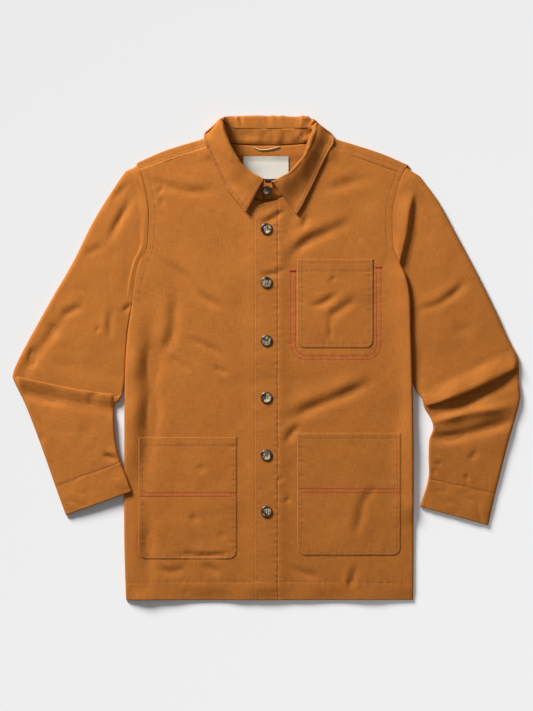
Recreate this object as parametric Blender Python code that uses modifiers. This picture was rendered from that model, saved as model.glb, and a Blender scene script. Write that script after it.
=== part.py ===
"""Work overshirt in brown cotton duck, buttoned and laid out flat on its back.

Left and right are the wearer's, so the left front, with the chest pocket, is on the +X side. +Y runs from
the hem to the collar and +Z up from the surface. All numbers are millimetres; the meshes are in metres.
"""

import math
from collections import namedtuple

import bmesh
import bpy
from mathutils import Vector

MM = 0.001

# ---------------------------------------------------------------- driving sizes
CLOTH = 1.2            # wall of one layer of duck
SEAM_GAP = 0.3         # between two pieces at a seam
ARMHOLE_GAP = 1.2      # the same round the curved armhole
UNDER_GAP = 2.0        # more of it below, where the sleeve's underside crosses the curve in long steps
END_GAP = 0.6          # and at the shoulder's outer end
LAY_GAP = 0.4          # between a panel and what is sewn on it
LAID_HEIGHT = 4.8      # top of the fronts where they lie on the back
HEM_HEIGHT = 3.5       # the same at the hem's edge
HEM_RAMP = 24.0        # and how far it takes to rise from there
HEM_DIP = 0.4          # deepest that a fold may go below the hem's height
HEM_Y = -398.5
CHEST_Y = 178.0        # above this line the rows of the fronts lean towards the neckline
NECK_LEVELS = 100.0    # and their levels count from 0 to this
LOW_SIDE_Y = -200.0    # the fronts' columns are spaced at this height
RIGHT_UPRIGHT_X = -165.0   # columns stand upright as far as this, and lean with the side past it
LEFT_UPRIGHT_X = 178.0
YOKE_SEAM_Y = 250.0    # back seam of the yoke
NECK_RIGHT_X = -70.0   # where shoulder and neckline meet
NECK_LEFT_X = 78.0
RIGHT_ARMPIT_Y = 89.0
LEFT_ARMPIT_Y = 153.5
COLUMN_STEP = 24.0     # widest spacing of the panels' lattice
ROW_STEP = 21.0
BACK_ROW_STEP = 60.0   # below the armholes, where the back's sides are nearly straight
BACK_TURN = 40.0       # from this far above an armpit the back's edge draws in, inside the front's
BACK_INSET_RUN = 24.0  # over which the back's sides draw in below the armpits
CURL_RUN = 16.0        # over which the fronts' side edges curl down at the armpits
BACK_HEM_RISE = 1.0    # the back's hem is this much higher than the fronts'

PLACKET_WIDTH = 36.8
PLACKET_RIGHT_X = -18.3    # its free edge
PLACKET_STEP = 1.5     # how far the left front rises where it meets the placket
PLACKET_STEP_WIDTH = 15.0
PLACKET_WALL = 2.0
BUTTON_STAND_X = 17.0  # inner edge of the right front, under the placket

COLLAR_WALL = 2.0
COLLAR_JOIN = 3.0      # the leaf runs on straight from the stand by this much before it turns
CUFF_WALL = 1.8
POCKET_WALL = 1.4
LABEL_WALL = 1.0
POCKET_CORNER = 13.0

BUTTON_RADIUS = 9.75
COLLAR_BUTTON_RADIUS = 7.6
BUTTON_X = 0.0
BUTTON_YS = (212.4, 124.2, 28.5, -65.2, -159.9, -252.9)
BUTTON_SEAT = 0.3      # of thread between a button and the cloth
BUTTON_PROFILE = (     # columns: radius, height
    (0.0, 2.3), (5.4, 2.3), (6.8, 3.1), (8.6, 3.1), (9.75, 2.0), (9.3, 0.8), (7.4, 0.0), (0.0, 0.0))
COLLAR_BUTTON_X = 0.8
COLLAR_BUTTON_SHARE = 0.56     # how far up the stand it sits
COLLAR_BUTTON_SEAT = 0.8

# ---------------------------------------------------------------- plan outlines, columns: y, x
RIGHT_SIDE = (
    (321.1, -214.3), (303.0, -206.0), (284.6, -201.3), (248.0, -194.8), (218.0, -194.9), (180.5, -198.2),
    (156.8, -209.0), (130.4, -215.7), (89.1, -222.1), (38.3, -229.7), (-31.7, -233.8), (-160.0, -234.8),
    (-300.3, -234.8), (-398.5, -232.0))
LEFT_SIDE = (
    (319.0, 235.5), (303.4, 224.9), (277.2, 215.3), (247.7, 208.6), (210.9, 207.9), (181.5, 210.0),
    (162.4, 216.8), (135.8, 230.0), (100.5, 237.0), (46.2, 238.6), (-1.7, 240.1), (-135.3, 242.6),
    (-300.0, 242.8), (-398.5, 242.4))
RIGHT_SLEEVE_OUTER = (
    (318.9, -218.8), (307.9, -232.0), (279.2, -252.0), (226.1, -285.0), (159.7, -318.1), (102.3, -351.3),
    (29.7, -391.9), (-2.6, -408.9), (-24.3, -417.6), (-34.3, -417.8), (-76.2, -397.8), (-144.2, -371.7),
    (-212.2, -347.8), (-259.2, -330.8))
RIGHT_SLEEVE_INNER = (
    (89.1, -222.7), (38.3, -230.2), (-31.7, -234.3), (-50.0, -235.2), (-60.0, -239.5), (-70.0, -246.0),
    (-80.0, -250.6), (-100.3, -250.8), (-140.3, -247.8), (-170.3, -240.2), (-190.2, -232.4), (-219.3, -221.8))
LEFT_SLEEVE_OUTER = (
    (316.5, 240.2), (292.4, 258.1), (259.2, 282.3), (210.5, 308.9), (148.7, 342.0), (82.5, 375.0),
    (29.7, 399.3), (2.3, 413.6), (-12.4, 416.4), (-39.8, 416.6), (-67.2, 418.2), (-145.0, 397.2),
    (-229.2, 376.2), (-275.6, 365.6))
LEFT_SLEEVE_INNER = (
    (153.5, 222.6), (135.8, 230.6), (100.5, 237.6), (46.2, 239.1), (-1.7, 240.6), (-40.0, 242.0),
    (-54.5, 247.0), (-66.0, 256.0), (-81.8, 260.0), (-100.8, 271.0), (-115.5, 274.6), (-134.5, 268.5),
    (-159.7, 267.1), (-197.7, 266.8), (-245.0, 253.1))

# Shoulder line, where the yoke folds over, and the forward seam in front of it, columns: x, y
SHOULDER_LINE = (
    (-218.0, 319.8), (-168.1, 341.6), (-101.8, 362.0), (-70.0, 371.5), (78.0, 372.0), (106.1, 363.3),
    (187.3, 337.8), (238.0, 316.0))
FORWARD_SEAM = ((-220.0, 305.0), (-70.0, 355.5), (78.0, 356.3), (240.0, 297.7))
RIGHT_NECKLINE = (
    (-70.0, 355.5), (-66.0, 332.0), (-58.0, 308.0), (-46.0, 286.0), (-30.0, 269.0), (-12.0, 259.5),
    (BUTTON_STAND_X, 256.0))
LEFT_NECKLINE = (
    (18.8, 261.5), (34.0, 269.0), (50.0, 283.0), (63.0, 304.0), (72.0, 330.0), (78.0, 356.3))
BACK_NECK = ((-60.0, 353.0), (-30.0, 350.4), (7.0, 350.0), (40.0, 350.6), (68.0, 353.5))

# ---------------------------------------------------------------- folds
# A soft trough (negative depth) or ridge along a bowed line that fades at both ends.
Fold = namedtuple("Fold", "x0 y0 x1 y1 bow width depth")
RIGHT_FRONT_FOLDS = (
    Fold(-165.0, 172.0, -36.0, 72.0, 15.0, 12.0, -2.0),
    Fold(-178.0, 138.0, -60.0, 62.0, 8.0, 13.0, 1.0),
    Fold(-132.0, 46.0, -46.0, -10.0, 2.0, 11.0, -1.3),
    Fold(-194.0, 96.0, -211.0, -128.0, -4.0, 11.0, -1.3),
    Fold(-172.0, 312.0, -70.0, 288.0, 13.0, 12.0, -1.4),
    Fold(-160.0, 112.0, -180.0, 2.0, 4.0, 11.0, -1.1),
    Fold(-190.0, -336.0, -128.0, -334.0, 6.0, 12.0, -0.9))
LEFT_FRONT_FOLDS = (
    Fold(26.0, 160.0, 142.0, 230.0, -9.0, 12.0, -1.7),
    Fold(34.0, 188.0, 130.0, 252.0, -9.0, 13.0, 0.9),
    Fold(27.0, -106.0, 192.0, -16.0, -3.0, 12.0, -1.3),
    Fold(96.0, 62.0, 154.0, 116.0, 3.0, 12.0, -1.1),
    Fold(182.0, -200.0, 134.0, -300.0, -4.0, 12.0, -1.3),
    Fold(30.0, -332.0, 96.0, -360.0, 4.0, 12.0, -1.0),
    Fold(120.0, 300.0, 196.0, 250.0, 6.0, 14.0, -0.9))
RIGHT_SLEEVE_FOLDS = (
    Fold(-258.0, 262.0, -228.0, 296.0, 2.0, 10.0, -1.0),
    Fold(-308.0, 172.0, -262.0, 196.0, 2.0, 11.0, -0.9),
    Fold(-336.0, 72.0, -292.0, 94.0, 2.0, 11.0, -0.9),
    Fold(-262.0, 108.0, -262.0, 22.0, 6.0, 12.0, 1.2),
    Fold(-384.0, -52.0, -316.0, -58.0, 3.0, 11.0, -1.4),
    Fold(-296.0, -120.0, -262.0, -104.0, 2.0, 10.0, -0.9))
LEFT_SLEEVE_FOLDS = (
    Fold(246.0, 288.0, 243.0, 20.0, -4.0, 10.0, -2.6),
    Fold(255.0, 78.0, 330.0, 130.0, -5.0, 12.0, 1.0),
    Fold(306.0, 44.0, 348.0, 58.0, 3.0, 11.0, -0.9),
    Fold(276.0, -108.0, 412.0, -60.0, -6.0, 10.0, 1.6),
    Fold(274.0, -142.0, 346.0, -106.0, -5.0, 10.0, -1.5),
    Fold(322.0, -172.0, 352.0, -146.0, 2.0, 9.0, -0.9))

# ---------------------------------------------------------------- sleeves
# A station is one row across a sleeve: where it starts and ends, how far its middle bows towards the
# cuff, the height of its top face, and how far its inner end is held off the surface.
Station = namedtuple("Station", "outer_y inner_y bow crown lift")
RIGHT_UPPER_STATIONS = (
    Station(318.9, 89.1, 0.0, 5.2, 0.0), Station(308.0, 84.0, 0.0, 6.0, 0.0),
    Station(280.0, 72.0, 0.0, 6.2, 0.0), Station(226.0, 52.0, 0.0, 6.3, 0.0),
    Station(160.0, 28.0, 0.0, 6.3, 0.0), Station(102.0, 4.0, 0.0, 6.0, 0.0),
    Station(50.0, -16.0, 0.0, 5.8, 0.0), Station(10.0, -33.0, 0.0, 5.4, 0.0))
RIGHT_TUCK_STATION = Station(-28.2, -60.2, -3.0, 5.2, 0.0)
RIGHT_LOWER_STATIONS = (
    Station(-78.0, -101.0, 0.0, 6.8, 0.0), Station(-112.0, -121.0, 0.0, 6.4, 0.0),
    Station(-146.0, -139.0, 0.0, 6.0, 0.8), Station(-180.0, -156.0, 0.0, 5.8, 2.0),
    Station(-212.2, -172.3, 0.0, 5.4, 3.4))
RIGHT_CUFF_STATIONS = (
    Station(-212.8, -172.9, 0.0, 5.4, 3.4), Station(-228.0, -188.5, 0.0, 5.4, 4.5),
    Station(-244.0, -204.0, 0.0, 5.4, 5.4), Station(-259.2, -219.3, 0.0, 5.2, 6.0))
LEFT_UPPER_STATIONS = (
    Station(316.5, 153.5, 0.0, 5.4, 0.0), Station(300.0, 145.0, 0.0, 6.2, 0.0),
    Station(262.0, 130.0, 0.0, 6.3, 0.0), Station(210.0, 106.0, 0.0, 6.3, 0.0),
    Station(150.0, 76.0, 0.0, 6.3, 0.0), Station(95.0, 42.0, -4.0, 6.4, 0.0),
    Station(52.0, 8.0, -10.0, 6.8, 0.0), Station(24.0, -24.0, -16.0, 7.6, 0.0))
LEFT_TUCK_STATION = Station(-14.5, -81.0, -22.0, 5.2, 0.0)
LEFT_LOWER_STATIONS = (
    Station(-56.0, -112.0, -16.0, 5.8, 0.0), Station(-96.0, -132.0, -10.0, 6.0, 0.0),
    Station(-140.0, -154.0, -5.0, 6.0, 0.0), Station(-184.0, -178.0, -2.0, 5.8, 0.0),
    Station(-224.9, -199.7, 0.0, 5.4, 0.0))
LEFT_CUFF_STATIONS = (
    Station(-225.5, -200.3, 0.0, 5.4, 0.0), Station(-242.0, -215.0, 0.0, 5.4, 0.0),
    Station(-259.0, -230.0, 0.0, 5.4, 0.0), Station(-275.6, -245.0, 0.0, 5.2, 0.0))

# The tuck at the elbow, a Z in the top face only, in mm down the sleeve from the fold's edge. Columns:
# where the underside crosses, where the top face is, 1 where the tuck's own depth is added, and the rise.
Tuck = namedtuple("Tuck", "base top deep rise")
TUCK = (
    Tuck(-14.0, -14.0, 0, 0.0), Tuck(-10.0, -3.0, 0, -0.4), Tuck(-6.0, -1.2, 1, -0.8),
    Tuck(-2.0, 0.0, 1, -0.1), Tuck(2.0, -1.2, 1, 0.6), Tuck(6.0, 1.8, 0, 0.9), Tuck(10.0, 0.0, 0, 2.6),
    Tuck(14.0, 2.2, 0, 4.2), Tuck(18.0, 9.0, 0, 4.6), Tuck(22.0, 22.0, 0, 3.4))
TUCK_DEPTH_OUTER = 3.0
TUCK_DEPTH_INNER = 13.0
TUCK_FADE = 8.0        # it closes this far from the sleeve's edges
THINNEST_TUBE = 3.1

# Round edge of a flattened tube, columns: inset from the edge, share of the height
TOP_EDGE = ((0.7, 0.75), (2.2, 0.93), (6.0, 1.0))
BOTTOM_EDGE = ((0.9, 0.12), (3.0, 0.0))
EDGE_MIDDLE = 0.42
TOP_COLUMNS = 7
BOTTOM_COLUMNS = 6
ARMHOLE_STATIONS = 5   # the first rows of a sleeve turn from the armhole's curve to straight
# The same at the side of a front, which curls down round the back's edge
SIDE_EDGE = ((10.0, 1.0), (4.0, 0.92), (1.5, 0.72), (0.5, 0.46), (0.0, 0.16))
# Shoulder fold of the yoke: inset from the shoulder line, share of the height
YOKE_FOLD = ((9.0, 0.0), (3.5, 0.04), (1.0, 0.2), (0.0, 0.5), (1.0, 0.8), (3.5, 0.96))

# ---------------------------------------------------------------- collar
# Each row is a place along the collar, from the right end of the stand round the back of the neck to the
# left end. Points lie on the face next to the neck: seam and top of the stand, roll line, leaf's edge.
Collar = namedtuple("Collar", "seam top roll edge radius")
COLLAR_ROWS = (
    Collar((-6.0, 259.8, 5.6), (-4.5, 287.0, 11.0), (-3.6, 293.2, 16.6), (-33.7, 238.8, 9.2), 3.0),
    Collar((-22.0, 264.5, 5.7), (-13.5, 293.0, 12.0), (-13.5, 298.2, 18.2), (-46.0, 255.0, 9.2), 3.1),
    Collar((-35.0, 273.0, 5.8), (-26.0, 302.0, 14.0), (-27.0, 306.6, 20.6), (-59.0, 271.5, 9.4), 3.2),
    Collar((-48.5, 289.0, 6.0), (-40.0, 315.0, 16.5), (-41.5, 319.4, 23.0), (-71.5, 288.0, 9.5), 3.3),
    Collar((-59.0, 309.0, 6.2), (-52.0, 333.0, 18.5), (-53.5, 337.0, 25.0), (-84.5, 315.0, 9.6), 3.4),
    Collar((-66.0, 332.0, 8.8), (-60.0, 353.0, 19.0), (-62.5, 355.0, 25.5), (-95.0, 339.0, 10.4), 3.4),
    Collar((-68.5, 347.0, 10.1), (-66.0, 371.0, 16.5), (-70.5, 376.0, 22.0), (-101.6, 354.5, 10.8), 3.4),
    Collar((-68.5, 355.5, 10.1), (-67.0, 381.0, 12.6), (-74.0, 388.0, 16.0), (-103.0, 367.0, 6.6), 3.6),
    Collar((-66.0, 357.2, 8.8), (-64.5, 381.5, 11.2), (-72.5, 393.4, 10.0), (-98.5, 373.0, 0.4), 4.0),
    Collar((-60.0, 354.4, 6.8), (-58.0, 381.0, 10.2), (-65.0, 397.2, 4.7), (-88.0, 362.0, 0.0), 4.7),
    Collar((-42.0, 351.8, 6.4), (-42.0, 380.4, 9.8), (-44.0, 398.8, 4.7), (-54.0, 344.0, 0.0), 4.7),
    Collar((-18.0, 350.9, 6.4), (-18.0, 380.0, 9.6), (-18.5, 399.2, 4.7), (-21.0, 338.5, 0.0), 4.7),
    Collar((7.0, 350.6, 6.4), (7.0, 380.2, 9.6), (7.0, 399.2, 4.7), (7.0, 337.0, 0.0), 4.7),
    Collar((28.0, 351.0, 6.4), (28.0, 380.2, 9.6), (29.0, 399.0, 4.7), (32.0, 338.5, 0.0), 4.7),
    Collar((50.0, 352.0, 6.4), (50.0, 380.6, 9.8), (52.0, 398.0, 4.7), (62.0, 343.5, 0.0), 4.7),
    Collar((67.0, 354.8, 6.8), (65.0, 381.2, 10.2), (71.0, 396.2, 4.7), (91.0, 361.0, 0.0), 4.7),
    Collar((73.5, 357.6, 8.8), (72.0, 381.8, 11.2), (79.0, 391.6, 10.0), (104.0, 371.6, 0.4), 4.0),
    Collar((76.0, 356.0, 10.1), (74.5, 381.5, 12.6), (81.0, 386.4, 16.0), (109.0, 366.6, 6.6), 3.6),
    Collar((76.5, 347.5, 10.1), (74.0, 371.0, 16.5), (78.5, 375.0, 22.0), (109.6, 354.0, 10.8), 3.4),
    Collar((74.0, 332.0, 8.8), (68.0, 353.0, 19.0), (71.0, 354.5, 25.5), (104.0, 338.0, 10.4), 3.4),
    Collar((67.0, 309.0, 6.2), (61.0, 332.0, 18.5), (63.0, 336.0, 25.0), (94.0, 313.0, 9.6), 3.4),
    Collar((56.5, 289.0, 6.0), (49.0, 314.0, 16.5), (51.0, 318.0, 23.0), (81.5, 286.5, 9.5), 3.3),
    Collar((44.0, 275.0, 5.8), (36.0, 301.0, 14.0), (37.5, 305.2, 20.6), (70.0, 268.5, 9.4), 3.2),
    Collar((31.0, 268.0, 5.8), (23.0, 292.0, 12.0), (24.0, 297.0, 18.2), (59.5, 251.5, 9.2), 3.1),
    Collar((14.0, 264.0, 6.0), (9.0, 284.5, 11.0), (9.0, 289.6, 16.6), (48.8, 236.3, 9.2), 3.0))
STAND_LAP = 16.0       # the left end of the stand runs on over the right end by this much
STAND_LAP_DROP = 2.0
STAND_LAP_RISE = 2.6
LEAF_FALL = ((0.35, 1.0), (0.7, 0.6), (1.0, 0.0))      # columns: share of the fall, how far it bellies out

BACK_LIFT = 2.7        # the leaf lies under the yoke behind the neck, and lifts it
BACK_LIFT_Y = (322.0, 338.0)
BACK_LIFT_CENTRE_X = 4.0
BACK_LIFT_HALF_WIDTH = (119.0, 99.0)

LABEL_X = (-37.8, 37.1)
LABEL_Y = (295.4, 332.3)
TAB_X = (-2.5, 18.6)
TAB_Y = (290.6, 295.0)
LOOP_RADIUS = 1.2
LOOP_PATH = (
    (-21.5, 348.0), (-17.0, 345.2), (-10.0, 342.8), (0.0, 342.9), (10.0, 344.8), (17.0, 346.8), (21.3, 348.2))

DUCK = ("#B4702F", 0.85)
DUCK_INSIDE = ("#A86629", 0.88)
LABEL_CLOTH = ("#DEDBCF", 0.7)
TAB_CLOTH = ("#1E1B19", 0.7)
LOOP_CORD = ("#C9B98F", 0.8)
HORN = ("#2E2622", 0.3)


# ---------------------------------------------------------------- curves and heights
def ease(value):
    """0 below 0, 1 above 1, and smooth between."""
    value = min(max(value, 0.0), 1.0)
    return value * value * (3.0 - 2.0 * value)


def mix(a, b, share):
    return a + (b - a) * share


def read(table, key):
    """Smooth value of a two-column table at key, through every row."""
    rows = table if table[0][0] < table[-1][0] else table[::-1]
    last = len(rows) - 1
    key = min(max(key, rows[0][0]), rows[last][0])
    i = 0
    while i < last - 1 and rows[i + 1][0] < key:
        i += 1

    def slope(k):
        low, high = max(k - 1, 0), min(k + 1, last)
        return (rows[high][1] - rows[low][1]) / (rows[high][0] - rows[low][0])

    span = rows[i + 1][0] - rows[i][0]
    t = (key - rows[i][0]) / span
    a, b = rows[i][1], rows[i + 1][1]
    return (a * (2 * t ** 3 - 3 * t ** 2 + 1) + b * (3 * t ** 2 - 2 * t ** 3)
            + span * (slope(i) * (t ** 3 - 2 * t ** 2 + t) + slope(i + 1) * (t ** 3 - t ** 2)))


def straight(table, key):
    """Value of a two-column table at key, in straight runs."""
    rows = table if table[0][0] < table[-1][0] else table[::-1]
    key = min(max(key, rows[0][0]), rows[-1][0])
    for (k0, v0), (k1, v1) in zip(rows, rows[1:]):
        if key <= k1:
            return mix(v0, v1, (key - k0) / (k1 - k0))


def fill(keys, step):
    """The keys, with even steps no longer than step between them."""
    places = [keys[0]]
    for a, b in zip(keys, keys[1:]):
        count = max(1, math.ceil(abs(b - a) / step))
        places += [mix(a, b, k / count) for k in range(1, count)] + [b]
    return places


def fold_height(x, y, folds):
    total = 0.0
    for f in folds:
        dx, dy = f.x1 - f.x0, f.y1 - f.y0
        length = math.hypot(dx, dy)
        along = ((x - f.x0) * dx + (y - f.y0) * dy) / length ** 2
        if 0.0 < along < 1.0:
            across = ((x - f.x0) * dy - (y - f.y0) * dx) / length - f.bow * 4.0 * along * (1.0 - along)
            total += f.depth * math.sin(math.pi * along) ** 0.7 * math.exp(-(across / f.width) ** 2)
    return total


def back_lift(x, y):
    """How far the leaf that lies behind the neck holds the yoke and the fronts off the surface."""
    low, high = BACK_LIFT_Y
    wide, narrow = BACK_LIFT_HALF_WIDTH
    across = (wide - abs(x - BACK_LIFT_CENTRE_X)) / (wide - narrow)
    return BACK_LIFT * ease((y - low) / (high - low)) * ease(across)


def front_height(x, y):
    """Top face of the fronts, away from their side edges."""
    if x > BUTTON_STAND_X:
        step = PLACKET_STEP * math.exp(-((x - BUTTON_STAND_X) / PLACKET_STEP_WIDTH) ** 2)
        height = LAID_HEIGHT + step + fold_height(x, y, LEFT_FRONT_FOLDS)
    else:
        height = LAID_HEIGHT + fold_height(x, y, RIGHT_FRONT_FOLDS)
    height = mix(HEM_HEIGHT, height, ease((y - HEM_Y) / HEM_RAMP))
    return max(height, HEM_HEIGHT - HEM_DIP) + back_lift(x, y)


# ---------------------------------------------------------------- meshes
def linear(hex_colour):
    channels = [int(hex_colour[i:i + 2], 16) / 255.0 for i in (1, 3, 5)]
    return [c / 12.92 if c <= 0.04045 else ((c + 0.055) / 1.055) ** 2.4 for c in channels] + [1.0]


def dress(piece, finish):
    """Give a piece its own material."""
    hex_colour, roughness = finish
    material = bpy.data.materials.new(piece.name)
    material.use_nodes = True
    shader = material.node_tree.nodes["Principled BSDF"]
    shader.inputs["Base Color"].default_value = linear(hex_colour)
    shader.inputs["Roughness"].default_value = roughness
    shader.inputs["Metallic"].default_value = 0.0
    material.diffuse_color = linear(hex_colour)
    piece.data.materials.append(material)


def place(name, data, finish):
    piece = bpy.data.objects.new(name, data)
    SHIRT.objects.link(piece)
    dress(piece, finish)
    return piece


def cloth(name, lattice, wall, finish, flip=False, tube=False):
    """A wall of cloth behind the face that a lattice of points gives; None leaves a place out."""
    mesh = bmesh.new()
    points = [[p and mesh.verts.new(Vector(p) * MM) for p in row] for row in lattice]
    for lower, upper in zip(points, points[1:]):
        columns = range(len(lower) if tube else len(lower) - 1)
        for c in columns:
            n = (c + 1) % len(lower)
            for corners in ((lower[c], upper[c], upper[n]), (lower[c], upper[n], lower[n])):
                if None not in corners:
                    mesh.faces.new(corners[::-1] if flip else corners)
    data = bpy.data.meshes.new(name)
    mesh.to_mesh(data)
    mesh.free()
    data.shade_smooth()
    piece = place(name, data, finish)
    solidify = piece.modifiers.new("wall", "SOLIDIFY")
    solidify.thickness = wall * MM
    solidify.offset = -1.0
    return piece


# ---------------------------------------------------------------- body panels
def front_lattice(side, armpit_y, upright_x, columns, rows, top_of):
    """Points of a front's top face, from the inner edge to the side, in rows from hem to top.

    Columns as far as upright_x stand upright, and the rest share out the way from there to the side.
    """
    sign = math.copysign(1.0, upright_x)
    low_side_x = read(side, LOW_SIDE_Y)

    def edge(y):
        return read(side, y) - sign * ARMHOLE_GAP / 2

    def inner_column(key):
        share = max((key - upright_x) / (low_side_x - upright_x), 0.0)
        return lambda y: mix(key, edge(y) + key - low_side_x, share) if share < 1.0 else edge(y)

    def edge_column(inset):
        return lambda y: edge(y) - sign * inset

    placed = [(inner_column(key), 1.0) for key in columns]
    placed += [(edge_column(inset), share) for inset, share in SIDE_EDGE]
    lattice = []
    for level in rows:
        row = []
        for x_at, share in placed:
            y = level
            if level > CHEST_Y:
                for _ in range(5):
                    y = mix(CHEST_Y, top_of(x_at(y)) - SEAM_GAP / 2, (level - CHEST_Y) / NECK_LEVELS)
            x = x_at(y)
            curl = mix(1.0, share, ease((armpit_y + CURL_RUN / 2 - y) / CURL_RUN))
            row.append((x, y, front_height(x, y) * curl))
        lattice.append(row)
    return lattice


def top_of_right_front(x):
    return straight(FORWARD_SEAM, x) if x < NECK_RIGHT_X else read(RIGHT_NECKLINE, x)


def top_of_left_front(x):
    return straight(FORWARD_SEAM, x) if x > NECK_LEFT_X else read(LEFT_NECKLINE, x)


# Pockets, columns: edge nearer the placket, edge nearer the side, bottom, top
Pocket = namedtuple("Pocket", "inner_x side_x bottom_y top_y")
CHEST_POCKET = Pocket(50.8, 176.4, 16.3, 162.9)
LEFT_POCKET = Pocket(50.8, 221.1, -325.4, -123.3)
RIGHT_POCKET = Pocket(-48.7, -210.7, -331.2, -130.4)


def pocket_lattice(panel, columns, rows, pocket):
    """The panel's own points under the pocket, moved out, with the two lower corners rounded."""
    first, last = columns.index(pocket.inner_x), columns.index(pocket.side_x)
    bottom, top = rows.index(pocket.bottom_y), rows.index(pocket.top_y)
    lattice = [[(x, y, z + LAY_GAP) for x, y, z in row[first:last + 1]] for row in panel[bottom:top + 1]]
    cut = 1.0 - math.sqrt(0.5)
    for near, beside in ((0, 1), (-1, -2)):
        corner, along, up, inside = (
            lattice[0][near], lattice[0][beside], lattice[1][near], lattice[1][beside])
        lattice[0][near] = tuple(
            mix(mix(c, a, cut), mix(u, i, cut), cut) for c, a, u, i in zip(corner, along, up, inside))
    return lattice


def pocket_keys(pocket):
    toward_side = POCKET_CORNER if pocket.side_x > pocket.inner_x else -POCKET_CORNER
    return [pocket.inner_x, pocket.inner_x + toward_side, pocket.side_x - toward_side, pocket.side_x]


def make_fronts():
    hem_rows = [HEM_Y, HEM_Y + HEM_RAMP / 3, HEM_Y + HEM_RAMP]
    neck_rows = [CHEST_Y + k * NECK_LEVELS / 7 for k in range(1, 8)]

    right_columns = fill([BUTTON_STAND_X, 0.0, PLACKET_RIGHT_X] + pocket_keys(RIGHT_POCKET), COLUMN_STEP)
    rows = fill(hem_rows + [RIGHT_POCKET.bottom_y, RIGHT_POCKET.bottom_y + POCKET_CORNER,
                            RIGHT_POCKET.top_y, CHEST_Y], ROW_STEP) + neck_rows
    panel = front_lattice(RIGHT_SIDE, RIGHT_ARMPIT_Y, RIGHT_UPRIGHT_X, right_columns, rows,
                          top_of_right_front)
    cloth("right_front", panel, CLOTH, DUCK)
    cloth("right_pocket", pocket_lattice(panel, right_columns, rows, RIGHT_POCKET), POCKET_WALL, DUCK,
          flip=True)
    make_placket(panel, right_columns.index(PLACKET_RIGHT_X))

    left_inner_x = PLACKET_RIGHT_X + PLACKET_WIDTH + SEAM_GAP
    chest_keys = pocket_keys(CHEST_POCKET)
    lower_keys = pocket_keys(LEFT_POCKET)
    left_columns = fill([left_inner_x] + chest_keys + lower_keys[2:], COLUMN_STEP)
    rows = fill(hem_rows + [LEFT_POCKET.bottom_y, LEFT_POCKET.bottom_y + POCKET_CORNER, LEFT_POCKET.top_y,
                            CHEST_POCKET.bottom_y, CHEST_POCKET.bottom_y + POCKET_CORNER,
                            CHEST_POCKET.top_y, CHEST_Y], ROW_STEP) + neck_rows
    panel = front_lattice(LEFT_SIDE, LEFT_ARMPIT_Y, LEFT_UPRIGHT_X, left_columns, rows, top_of_left_front)
    cloth("left_front", panel, CLOTH, DUCK, flip=True)
    for name, pocket in (("left_pocket", LEFT_POCKET), ("chest_pocket", CHEST_POCKET)):
        cloth(name, pocket_lattice(panel, left_columns, rows, pocket), POCKET_WALL, DUCK)


def make_placket(panel, right_column):
    """The strip lies on the right front, so it is made from that panel's points."""
    left_x = PLACKET_RIGHT_X + PLACKET_WIDTH
    lattice = []
    for row in panel:
        points = [(x, y, z + LAY_GAP) for x, y, z in row[right_column::-1]]
        x, y, z = points[-1]
        lattice.append(points + [(left_x, y, z)])
    cloth("placket", lattice, PLACKET_WALL, DUCK)


def make_back():
    """One flat panel. Below the armpits the fronts curl down outside its edges."""
    columns = [k / 6.0 for k in range(7)]
    rows = fill([HEM_Y + BACK_HEM_RISE, RIGHT_ARMPIT_Y - BACK_TURN], BACK_ROW_STEP)
    rows += fill([RIGHT_ARMPIT_Y - BACK_TURN / 2, YOKE_SEAM_Y - SEAM_GAP / 2], ROW_STEP / 2)

    def inset(armpit_y, y):
        return mix(ARMHOLE_GAP / 2, CLOTH + ARMHOLE_GAP + LAY_GAP, ease((armpit_y + BACK_TURN - y) / BACK_INSET_RUN))

    lattice = []
    for y in rows:
        right_x = read(RIGHT_SIDE, y) + inset(RIGHT_ARMPIT_Y, y)
        left_x = read(LEFT_SIDE, y) - inset(LEFT_ARMPIT_Y, y)
        lattice.append([(mix(right_x, left_x, u), y, 0.0) for u in columns])
    cloth("back", lattice, CLOTH, DUCK)


def make_yoke():
    """The back of the shoulders, folded over the shoulder line as far as the forward seam."""
    seam_y = YOKE_SEAM_Y + SEAM_GAP / 2
    across_shares = [0.0, 0.05, 0.2, 0.4, 0.6, 0.8, 1.0]
    up_shares = [0.0, 0.4, 0.66, 0.8, 0.9, 1.0]

    def shoulder_column(side, neck_x, share):
        sign = 1.0 if neck_x > 0.0 else -1.0

        def at(y):
            return mix(read(side, y) - sign * ARMHOLE_GAP / 2, neck_x, share)

        shoulder_y = forward_y = SHOULDER_LINE[0][1]
        for _ in range(5):
            shoulder_y = read(SHOULDER_LINE, at(shoulder_y))
            forward_y = straight(FORWARD_SEAM, at(forward_y)) + SEAM_GAP / 2

        column = []
        for part in up_shares:
            y = mix(seam_y, shoulder_y - YOKE_FOLD[0][0], part)
            column.append((at(y), y, back_lift(at(y), y)))
        for inset, part in YOKE_FOLD[1:]:
            y = shoulder_y - inset
            lift = back_lift(at(y), y)
            column.append((at(y), y, mix(lift, front_height(at(forward_y), forward_y), part)))
        column.append((at(forward_y), forward_y, front_height(at(forward_y), forward_y)))
        return column

    def neck_column(x):
        top_y = read(BACK_NECK, x)
        column = [(x, mix(seam_y, top_y, part)) for part in up_shares]
        return [(x, y, back_lift(x, y)) for x, y in column] + [None] * len(YOKE_FOLD)

    columns = [shoulder_column(RIGHT_SIDE, NECK_RIGHT_X, s) for s in across_shares]
    columns += [neck_column(x) for x, _ in BACK_NECK]
    columns += [shoulder_column(LEFT_SIDE, NECK_LEFT_X, s) for s in reversed(across_shares)]
    cloth("yoke", list(zip(*columns)), CLOTH, DUCK_INSIDE)


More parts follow.
